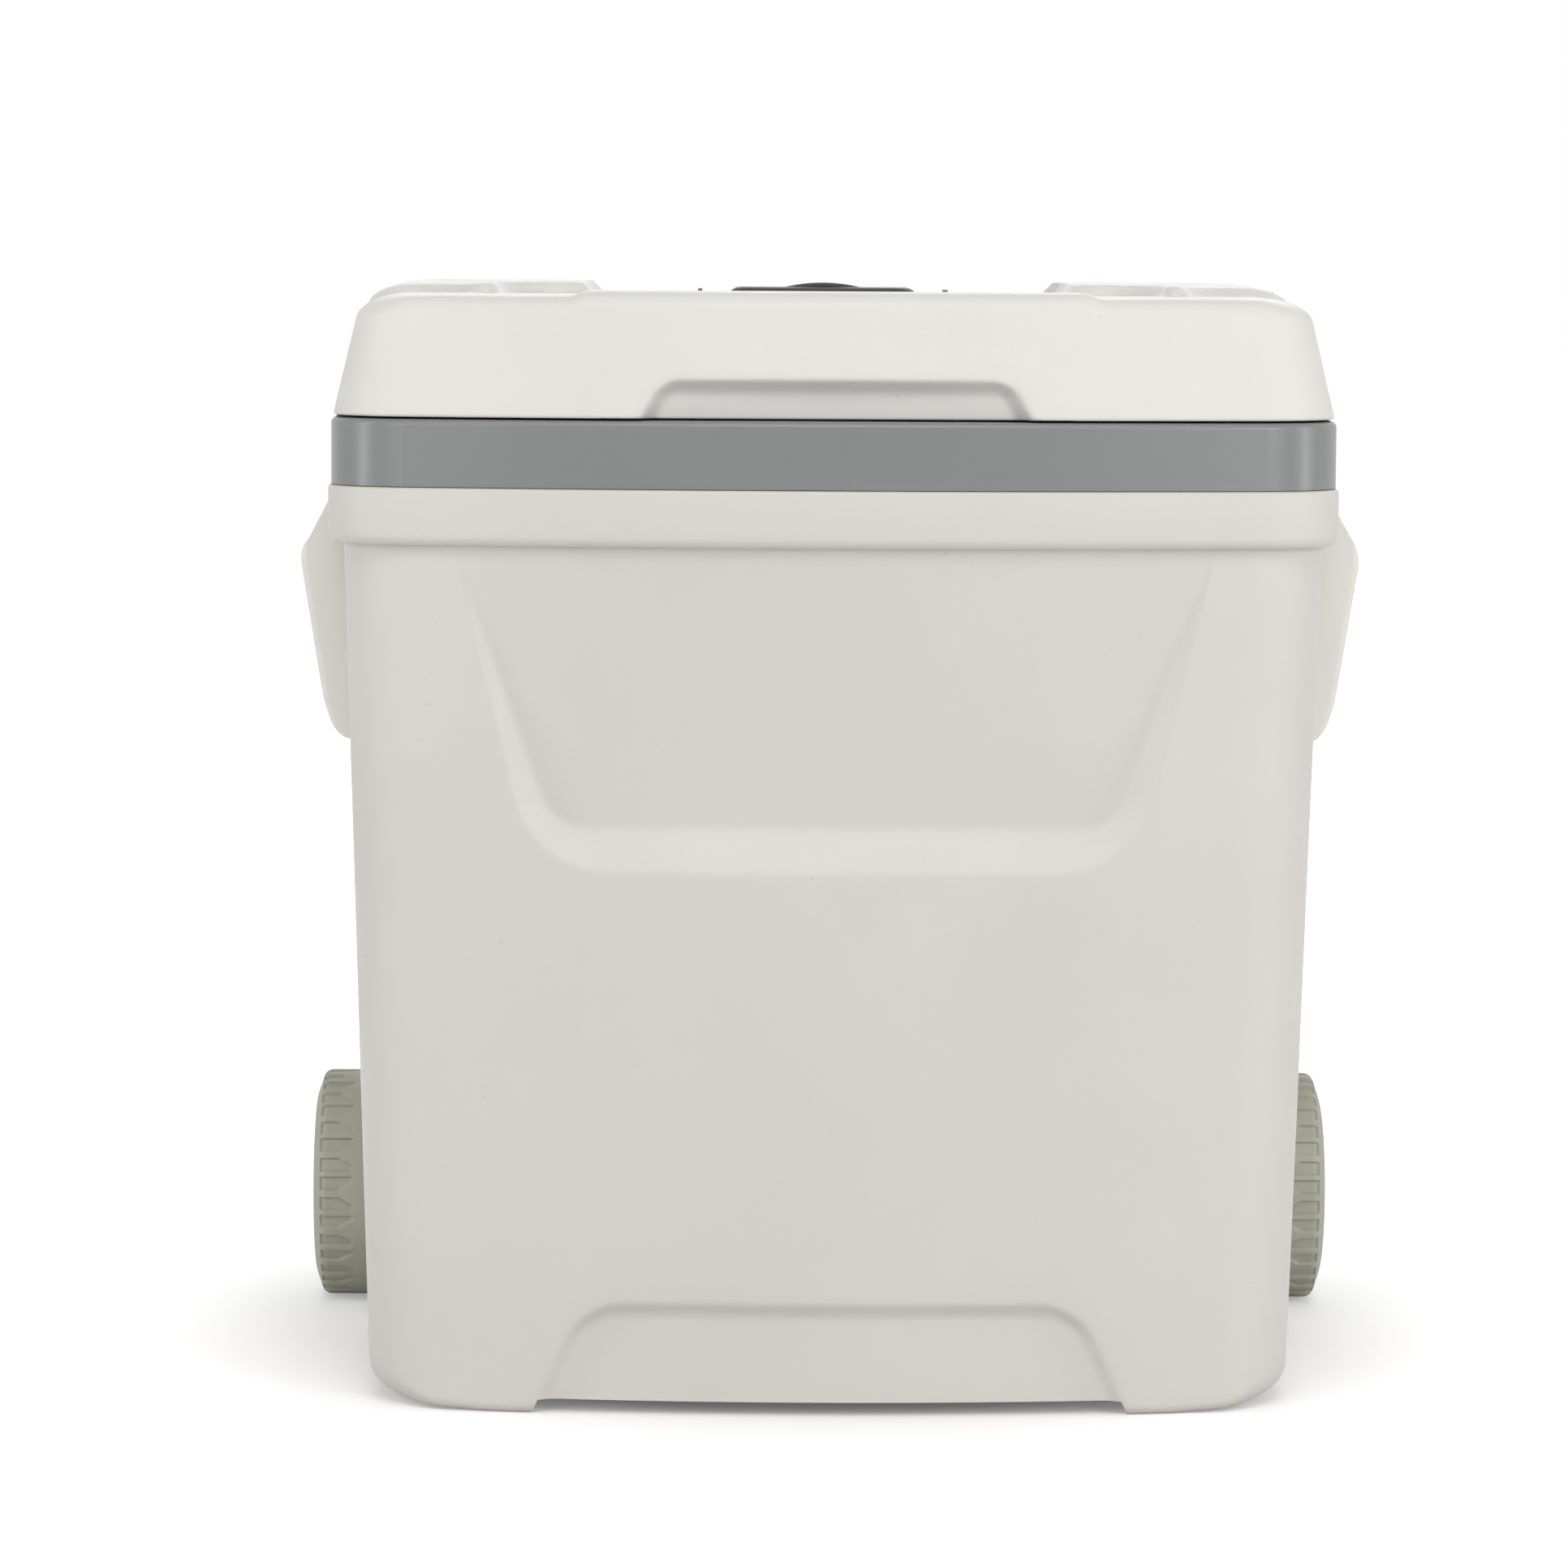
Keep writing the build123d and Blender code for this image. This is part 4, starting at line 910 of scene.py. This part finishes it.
@dataclass
class LidShell:
    """White lid: sloping sides, soft top edge, rear pads, cup places and the finger notch."""

    slope: float = math.tan(math.radians(13.2))
    set_back: float = 0.0023
    corner: float = 0.046
    rear_corner: float = 0.040
    probe: float = 0.034
    front_round: Point = (0.011, 0.0095)
    side_round: Point = (0.023, 0.0125)
    lip: float = 0.0018
    lip_width: float = 0.00305
    lip_depth: float = 0.0026
    pad_inner: float = 0.123
    pad_front: float = -0.060
    pad_soft: float = 0.0029
    pad_fall: float = 0.0012
    fall_across: Point = (0.165, 0.190)
    fall_along: Point = (0.10, -0.03)
    cup_radius: float = 0.033
    cups: Point = (0.135, 0.212)
    cup_blend: float = 0.003
    floor_drop: float = 0.0055
    floor_soft: float = 0.004
    middle_drop: float = 0.003
    valley_drop: float = 0.008
    valley_start: float = 0.070
    valley_length: float = 0.45
    notch_area: Recess = Recess(0.084, 0.094, 0.0182, 0.008)
    notch_depth: float = 0.016
    notch_scoop: float = 0.0068
    margin: float = 0.02
    grip_side: float = 0.0023
    grip_front: float = 0.008
    grip_rear: float = 0.175
    grip_round: float = 0.003
    grip_corner: float = 0.006
    columns: Columns = Columns(300, 26, 80, 14, 100)
    rows: int = 92

    def __post_init__(self) -> None:
        """Read the outer sizes from the frame."""
        low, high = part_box("lid_shell")
        self.seam, self.top = low[2], high[2]
        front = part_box("outer_shell")[0][1] + self.set_back
        self.foot = Outline(high[0], front, high[1], self.corner, self.rear_corner)
        self.outer = self.foot.points(self.columns)
        self.inner = self.foot.inset(self.probe).points(self.columns)

    def height(self, x: float, y: float) -> float:
        """Height of the lid's top with its pads, cup places and falling middle.

        Args:
            x: Place across.
            y: Place along.

        Returns:
            The height.
        """
        side = smooth_step(abs(x) - self.pad_inner, -self.floor_soft, self.floor_soft)
        back = min(max((y - self.foot.front - self.valley_start) / self.valley_length, 0.0), 1.0)
        middle = self.top - self.middle_drop
        middle -= (self.valley_drop - self.middle_drop) * back
        low = middle + (self.top - self.floor_drop - middle) * side
        reach = min(math.hypot(abs(x) - cup, y - self.pad_front) for cup in self.cups) - self.cup_radius
        inside = soft_min(y - self.pad_front, reach, self.cup_blend)
        inside = soft_min(inside, abs(x) - self.pad_inner, self.floor_soft)
        fall = self.pad_fall * smooth_step(abs(x), *self.fall_across) * smooth_step(y, *self.fall_along)
        return low + (self.top - fall - low) * smooth_step(inside, -self.pad_soft, self.pad_soft)

    def notch(self, x: float, y: float, z: float) -> float:
        """Y of the sloping front face with the finger notch, up to its straight back wall."""
        inside, _ = self.notch_area.inside(x, self.notch_area.height - (z - self.seam))
        return y + (self.foot.front + self.notch_depth - y) * scoop(inside, self.notch_scoop)

    def at(self, column: int, inset: float) -> Point:
        """Point of one column, in from the foot of the lid by an inset."""
        (ax, ay), (bx, by), share = self.outer[column], self.inner[column], inset / self.probe
        return ax + (bx - ax) * share, ay + (by - ay) * share

    def rounding(self, column: int) -> Triple:
        """Top edge at one column, wider at the sides than at the front.

        Args:
            column: Number of the column.

        Returns:
            The reach in, the drop, and the turn at which the edge meets the sloping side.
        """
        aside = abs(self.inner[column][0] - self.outer[column][0]) / self.probe
        share = smooth_step(aside, 0.2, 0.9)
        reach, drop = (a + (b - a) * share for a, b in zip(self.front_round, self.side_round))
        return reach, drop, math.atan(self.slope * drop / reach)

    def wall_ring(self, share: float, lift: float, inset: float) -> Ring:
        """Ring on the sloping side.

        Args:
            share: Place between the lip and the top edge, from 0 to 1.
            lift: Height of the lip end above the seam.
            inset: Extra distance in.

        Returns:
            The ring's points.
        """
        points = []
        for column, (ax, ay) in enumerate(self.inner):
            _, drop, start = self.rounding(column)
            end = self.height(ax, ay) - drop * (1 - math.sin(start))
            z = self.seam + lift + (end - self.seam - lift) * share
            x, y = self.at(column, (z - self.seam) * self.slope + inset)
            if y < 0 and abs(x) < self.notch_area.wide + self.margin:
                y = self.notch(x, y, z) + inset * smooth_step(inset, 0.0, self.lip_width)
            points.append(Vector((x, y, z)))
        return points

    def edge_ring(self, share: float) -> Ring:
        """Ring on the rounded top edge.

        Args:
            share: Place on the edge, from 0 at the sloping side to 1 at the top.

        Returns:
            The ring's points.
        """
        points = []
        for column, (ax, ay) in enumerate(self.inner):
            crown, (reach, drop, start) = self.height(ax, ay), self.rounding(column)
            turn = start + (math.pi / 2 - start) * share
            inset = (crown - drop * (1 - math.sin(start)) - self.seam) * self.slope
            x, y = self.at(column, inset + reach * (math.cos(start) - math.cos(turn)))
            points.append(Vector((x, y, crown - drop * (1 - math.sin(turn)))))
        return points

    def top_rings(self, edge: Ring) -> list[Ring]:
        """Rings that shrink from the top edge to the middle and follow the relief.

        Args:
            edge: Last ring of the rounded edge.

        Returns:
            The rings.
        """
        rings, middle = [], Vector((0.0, (self.foot.front + self.foot.rear) / 2))
        for row in range(1, self.rows):
            share = 1 - row / self.rows
            blend = smooth_step(1 - share, 0.0, 0.05)
            ring = []
            for point in edge:
                x, y = middle.x + (point.x - middle.x) * share, middle.y + (point.y - middle.y) * share
                ring.append(Vector((x, y, point.z + (self.height(x, y) - point.z) * blend)))
            rings.append(ring)
        return rings

    def rings(self) -> list[Ring]:
        """Stack the lid's rings.

        Returns:
            The rings from inside the lip over the side to the middle of the top.
        """
        rings = [self.wall_ring(0.0, lift, self.lip_width) for lift in (self.lip_depth, 0.0)]
        rings += [self.wall_ring(0.0, lift, inset) for inset, lift in quarter(self.lip, 4)]
        shares = [0.03 * step for step in range(1, 11)] + [0.315 + 0.012 * step for step in range(16)]
        shares += [0.53, 0.60, 0.68, 0.76, 0.84, 0.92]
        rings += [self.wall_ring(share, self.lip, 0.0) for share in shares]
        rings += [self.edge_ring(step / 10) for step in range(11)]
        return rings + self.top_rings(rings[-1])

    def rear_notch(self) -> Piece:
        """Open the rear for the tow handle, with a rounded upper edge.

        Returns:
            The cutter.
        """
        low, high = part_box("guide_upper")
        half, front = high[0] + self.grip_side, low[1] - self.grip_front
        crown, radius = self.height(0.0, self.grip_rear), self.grip_round
        levels = [(self.seam - self.margin, 0.0)]
        levels += [(crown - drop, out) for drop, out in quarter(radius, 6)]
        levels.append((crown + self.margin, radius + self.margin))
        rings = []
        for z, out in levels:
            edge, nose, bend = half + out, front - out, self.grip_corner + out
            end = Vector((edge, nose + bend))
            right = arc(Vector((edge - bend, nose + bend)), Vector((edge - bend, nose)), end, 8)
            right += [end, Vector((edge, OUTSIDE))]
            left = [Vector((-point.x, point.y)) for point in reversed(right)]
            rings.append([Vector((point.x, point.y, z)) for point in right + left])
        return make_object(lofted(rings))

    def build(self) -> Piece:
        """Model the lid and cut its rear notch.

        Returns:
            The lid.
        """
        lid = make_object(lofted(self.rings()), "lid_top")
        carve(lid, [self.rear_notch()])
        return lid

    def dress(self, piece: Piece) -> None:
        """Give the lid its finish and its place in the frame."""
        # The lid gets the lighter copy of the white plastic, with painted light on its upward-tilted faces.
        settle(piece, "lid", "white_plastic", "lid_shell", "lid_plastic")


# Side handles


@dataclass
class LiftHandle:
    """Moulded lift handle under the rim; fingers reach up into it from below."""

    side: Side
    wall: float = 0.0045
    end: float = 0.014
    sunk: float = 0.0125
    heel: float = 0.006
    swell: float = 0.0045
    knee: float = 0.020
    brow: float = 0.091
    nose: Point = (0.0015, 0.007)
    eave: float = 0.0006
    roof: float = 0.006
    rounding: float = 0.0042
    seat: float = 0.001
    pocket_round: float = 0.003
    margin: float = 0.02
    sharp: float = 40.0

    def prism(self, points: Sequence[Point], low: float, high: float) -> Solid:
        """Polygon in distance from the middle and height, run along Y on this side."""
        return swept([(self.side.value * x, low, z) for x, z in points], (0, high - low, 0))

    def build(self) -> Piece:
        """Model the handle, rounded outside and hollowed from below.

        Returns:
            The handle.
        """
        low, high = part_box(f"side_handle_{self.side.suffix}")
        rim, base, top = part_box("outer_shell")[1][0], low[2], high[2]
        reach, deep = max(abs(low[0]), abs(high[0])), rim - self.sunk
        knee, brow = base + self.knee, base + self.brow
        outside = [(deep, base), (rim - self.heel, base), (rim, base + self.heel), (rim + self.swell, knee),
                   (reach, brow), (reach - self.nose[0], brow + self.nose[1]), (rim + self.eave, top),
                   (deep, top)]
        mesh = self.prism(outside, low[1], high[1])
        proud = [edge for edge in mesh.edges if all(abs(vert.co.x) > rim - self.heel for vert in edge.verts)
                 and all(vert.co.z < top - self.seat for vert in edge.verts)]
        soften(mesh, proud, self.rounding, 5)
        handle = make_object(mesh, f"lift_handle_{self.side.suffix}", self.sharp)
        mouth, lip = rim + self.swell - self.wall, brow + self.roof
        back, below = deep - self.margin, base - self.margin
        inside = [(back, below), (mouth, below), (mouth, knee), (reach - self.wall, brow),
                  (reach - 2 * self.wall, lip), (back, lip)]
        pocket = self.prism(inside, low[1] + self.end, high[1] - self.end)
        edges = [edge for edge in pocket.edges if all(abs(vert.co.x) > deep for vert in edge.verts)]
        soften(pocket, edges, self.pocket_round, 3)
        carve(handle, [make_object(pocket)], self.sharp)
        return handle

    def dress(self, piece: Piece) -> None:
        """Give the handle its finish and its place in the frame."""
        # The handle gets the lighter copy of the white plastic, with painted light on its shaded end faces.
        settle(piece, "tub", "white_plastic", f"side_handle_{self.side.suffix}", "handle_plastic")


# Wheels


@dataclass
class Tyre:
    """Soft tyre with pairs of shallow pockets round its outer half and a domed outer face."""

    side: Side
    pairs: int = 18
    pocket: float = 6.5
    rib: float = 3.0
    near: float = 0.0045
    short: float = 0.0140
    long: float = 0.0212
    taper: float = 0.66
    end_ease: float = 0.8
    depth: float = 0.0016
    blend: float = 0.0006
    hub: float = 0.044
    shoulder: float = 0.005
    inner_rows: tuple[float, float, int] = (0.006, 0.0037, 6)
    tread_rows: tuple[float, float, int] = (0.0260, 0.0007, 26)
    edge: Triple = (0.0075, 0.0050, 0.006)
    dome: tuple[Point, ...] = ((0.0018, 0.0072), (0.0011, 0.0090), (0.0004, 0.0114))
    tread_drop: float = 0.0065
    sharp: float = 50.0

    def __post_init__(self) -> None:
        """Read the tyre's sizes from the frame."""
        node = f"tyre_{self.side.suffix}"
        low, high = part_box(node)
        self.radius = (high[2] - low[2]) / 2
        self.centre = Vector((0.0, *centre_of(node)[1:]))
        self.width = high[0] - low[0]
        self.face = max(abs(low[0]), abs(high[0]))

    def profile(self) -> list[Point]:
        """Section from the hub's inner side over the tread to its outer side.

        Returns:
            Distance in from the face and radius of each point.
        """
        full = self.radius
        points = [(self.width, self.hub), (self.width, full - self.shoulder)]
        points += [(self.width - inward, full - drop) for drop, inward in quarter(self.shoulder, 5)[1:]]
        start, step, count = self.inner_rows
        points += [(self.width - start - step * i, full) for i in range(count)]
        start, step, count = self.tread_rows
        points += [(start - step * i, full) for i in range(count)]
        start, reach, drop = self.edge
        points += [(start - reach * math.sin(turn), full - drop * (1 - math.cos(turn)))
                   for turn in turns(10)[:-1]]
        points += [(distance, full - drop) for distance, drop in self.dome]
        return points + [(0.0, 0.0480), (0.0003, 0.0455), (0.0010, self.hub)]

    def angles(self) -> list[float]:
        """Angles of the columns in one repeat, with a line on each side of every pocket wall.

        Returns:
            The angles in degrees.
        """
        first, second, beside = self.pocket, self.pocket + self.rib, 0.25
        lines = [-1.6, -0.7, -beside, 0.0, beside, 0.8, 1.6, 2.4, 3.2, 4.0, 4.8, 5.6]
        lines += [first - beside, first, first + beside]
        return lines + [(first + second) / 2] + [first + second - line for line in reversed(lines)]

    def pocket_depth(self, angle: float, distance: float) -> float:
        """Depth of the tread's pockets.

        Args:
            angle: Angle within one repeat, in degrees.
            distance: Distance in from the outer face.

        Returns:
            Depth below the tread.
        """
        if angle > self.pocket + self.rib / 2:
            angle = 2 * self.pocket + self.rib - angle
        arc_length = math.radians(angle) * self.radius
        across = min(arc_length, math.radians(self.pocket) * self.radius - arc_length)
        share = min(max(angle / (self.taper * self.pocket), 0.0), 1.0)
        end = self.short + (self.long - self.short) * share
        inside = min(across, distance - self.near, (end - distance) * self.end_ease)
        return self.depth * smooth_step(inside, -self.blend / 2, self.blend / 2)

    def build(self) -> Piece:
        """Model the tyre.

        Returns:
            The tyre.
        """
        repeat, rings = 360 / self.pairs, []
        columns = [(pair * repeat + angle, angle) for pair in range(self.pairs) for angle in self.angles()]
        for distance, radius in self.profile():
            ring, x = [], self.side.value * (self.face - distance)
            treaded = radius > self.radius - self.tread_drop
            for turn, angle in columns:
                length = radius - (self.pocket_depth(angle, distance) if treaded else 0.0)
                bend = math.radians(turn)
                ring.append(self.centre + Vector((x, length * math.cos(bend), length * math.sin(bend))))
            rings.append(ring)
        return make_object(lofted(rings, close=True), f"tyre_tread_{self.side.suffix}", self.sharp)

    def dress(self, piece: Piece) -> None:
        """Give the tyre its finish and its place in the frame."""
        settle(piece, f"wheel_{self.side.suffix}", "tread", f"tyre_{self.side.suffix}")


# Springs


@dataclass
class Spring:
    """Coil spring in the tow handle that shortens towards its fixed end as its joint moves."""

    node: str
    joint: str
    axis: int
    fixed_end: float
    travel: float

    @classmethod
    def listed(cls) -> list[Spring]:
        """Find every spring that the record says shortens.

        Returns:
            The springs.
        """
        springs = []
        for joint in frame["record"]["behaviour"]["joints"]:
            for entry in joint.get("deforming_nodes", []):
                letter = entry["mode"][-1]
                low, high = joint["range_m"]
                fixed_end = entry[f"fixed_end_{letter}_m"]
                springs.append(cls(entry["node"], joint["name"], "xyz".index(letter), fixed_end, high - low))
        return springs

    def build(self) -> Piece:
        """Take a merged copy of the coil.

        Returns:
            The copy.
        """
        mesh = bmesh.new()
        mesh.from_mesh(frame["nodes"][self.node].data)
        bmesh.ops.remove_doubles(mesh, verts=mesh.verts, dist=1e-6)
        return make_object(mesh, f"{self.node}_coil")

    def dress(self, piece: Piece) -> None:
        """Give the coil its finish, its place on the tow handle and a mesh of its own.

        Args:
            piece: The coil.
        """
        settle(piece, "tow_handle", "steel", self.node)
        axis, anchor = Vector((0.0, 0.0, 0.0)), Vector((0.0, 0.0, 0.0))
        axis[self.axis], anchor[self.axis] = 1.0, self.fixed_end
        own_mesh(piece)


# Everything that keeps its CAD shape


class Fittings:
    """Liner, grip, tubes, hinges, hubs, drain and screws: own shapes with the finishes of their slots."""

    def dress(self) -> None:
        """Give every node of the frame the finish of its slot."""
        slots = {part["node"]: part["material_slot"] for part in frame["record"]["subparts"]}
        for node, piece in frame["nodes"].items():
            piece.data.materials.clear()
            piece.data.materials.append(bpy.data.materials[f"{slots[node]}_finish"])
        LOG.info("fittings: %d nodes dressed", len(slots))


# Studio


@dataclass(frozen=True)
class Softbox:
    """Rectangular light that faces the cooler: its middle, width and height, and watts."""

    name: str
    place: Triple
    size: Point
    power: float
    aim: Triple = (0.0, 0.0, 0.28)

    def hang(self) -> None:
        """Put the light in the scene."""
        lamp = bpy.data.lights.new(self.name, "AREA")
        lamp.shape, lamp.energy = "RECTANGLE", self.power
        lamp.size, lamp.size_y = self.size
        light = bpy.data.objects.new(self.name, lamp)
        turn = (Vector(self.aim) - Vector(self.place)).to_track_quat("-Z", "Y")
        light.matrix_world = Matrix.Translation(self.place) @ turn.to_matrix().to_4x4()
        bpy.context.scene.collection.objects.link(light)


LIGHTS = (
    Softbox("top", (0.0, -0.5, 2.9), (2.4, 2.4), 9.0),
    Softbox("front", (0.0, -3.2, 3.6), (2.4, 1.4), 55.0),
    Softbox("left", (-1.9, -2.8, 1.3), (1.0, 1.6), 20.0),
    Softbox("right", (2.0, -2.8, 1.3), (1.0, 1.6), 34.0),
    Softbox("rear", (0.3, 3.4, 2.2), (2.4, 1.4), 34.0),
    Softbox("left_strip", (-2.6, -0.6, 0.9), (0.5, 2.0), 18.0),
    Softbox("right_strip", (2.6, -0.6, 0.9), (0.5, 2.0), 17.0),
)


@dataclass
class Studio:
    """Pale floor, soft lights, white surround and the camera."""

    place: Triple = (-0.060, -3.223, 0.5712)
    yaw: float = 0.68
    pitch: float = 4.931
    roll: float = -0.32
    focal: float = 7719.45
    image: int = 1932
    sensor: float = 36.0
    view_end: float = 60.0
    fill: tuple[float, ...] = (1.0, 0.985, 0.965, 1.0)
    fill_strength: float = 0.26
    floor_size: float = 30.0
    floor_gap: float = 0.0003
    floor_colour: tuple[float, ...] = (0.80, 0.80, 0.80, 1.0)
    glow_reach: float = 3.0
    # Glow of the floor by distance from the cooler: weakest near it, a painted shadow round its base.
    glow: tuple[Point, ...] = ((0.06, 0.10), (0.14, 0.55), (0.80, 0.85))

    def camera(self) -> None:
        """Set the camera at the photograph's viewpoint."""
        yaw, pitch, roll = (math.radians(angle) for angle in (self.yaw, self.pitch, self.roll))
        ahead = Vector((math.sin(yaw) * math.cos(pitch), math.cos(yaw) * math.cos(pitch), -math.sin(pitch)))
        right = Vector((math.cos(yaw), -math.sin(yaw), 0.0))
        up = right.cross(ahead)
        across = right * math.cos(roll) - up * math.sin(roll)
        above = right * math.sin(roll) + up * math.cos(roll)
        lens = bpy.data.cameras.new("camera")
        lens.sensor_width, lens.clip_end = self.sensor, self.view_end
        lens.lens = self.focal / self.image * self.sensor
        view = bpy.data.objects.new("camera", lens)
        turn = Matrix((across, above, -ahead)).transposed().to_4x4()
        view.matrix_world = Matrix.Translation(self.place) @ turn
        bpy.context.scene.collection.objects.link(view)
        bpy.context.scene.camera = view

    def surround(self) -> None:
        """White surround that lights evenly."""
        world = bpy.context.scene.world or bpy.data.worlds.new("studio")
        bpy.context.scene.world = world
        nodes = Nodes(world)
        light = nodes.tree.nodes["Background"]
        nodes.wire(light, {"Color": self.fill, "Strength": self.fill_strength})
        white = nodes.add("Background", {"Color": (1, 1, 1, 1)})
        mix = nodes.add("MixShader", {0: nodes.sight(), 1: light.outputs[0], 2: white.outputs[0]})
        nodes.wire(nodes.tree.nodes["World Output"], {"Surface": mix.outputs[0]})

    def floor_material(self) -> bpy.types.Material:
        """Matte finish that glows more the farther it is from the cooler, its weak glow near the cooler a
        painted shadow round the base on top of the real one.

        Returns:
            The material.
        """
        material = bpy.data.materials.new("studio_floor")
        nodes = Nodes(material)
        nodes.tree.nodes.remove(nodes.tree.nodes["Principled BSDF"])
        place = nodes.add("TexCoord", {}).outputs["Object"]
        length = nodes.add("VectorMath", {0: place}, operation="LENGTH").outputs["Value"]
        share = nodes.combine("DIVIDE", length, self.glow_reach)
        # Glow level rising with distance: the low level near the cooler is painted shadow.
        far = nodes.ramp(share, [(stop, (value,) * 3) for stop, value in self.glow])
        matte = nodes.add("BsdfDiffuse", {"Color": self.floor_colour})
        glow = nodes.add("Emission", {"Strength": nodes.combine("MULTIPLY", nodes.sight(), far)})
        both = nodes.add("AddShader", {0: matte.outputs[0], 1: glow.outputs[0]})
        nodes.wire(nodes.tree.nodes["Material Output"], {"Surface": both.outputs[0]})
        return material

    def floor(self) -> None:
        """Wide pale floor that keeps the cooler's soft shadow."""
        mesh = bmesh.new()
        bmesh.ops.create_grid(mesh, x_segments=1, y_segments=1, size=self.floor_size)
        bmesh.ops.translate(mesh, vec=(0, 0, -self.floor_gap), verts=mesh.verts)
        piece = make_object(mesh, "studio_floor")
        piece.data.materials.append(self.floor_material())

    def build(self) -> None:
        """Set the whole studio."""
        bpy.context.scene.view_settings.view_transform = "Standard"
        self.camera()
        self.surround()
        self.floor()
        for light in LIGHTS:
            light.hang()


def main() -> None:
    """Build every sub-assembly in order."""
    logging.basicConfig(level=logging.INFO, format="%(message)s")
    for finish in FINISHES:
        finish.material()
    Fittings().dress()
    makers = [TubShell(), LidShell()] + [LiftHandle(side) for side in Side] + [Tyre(side) for side in Side]
    for maker in makers + Spring.listed():
        maker.dress(maker.build())
    Studio().build()
    bpy.context.view_layer.update()


if __name__ == "__main__":
    main()
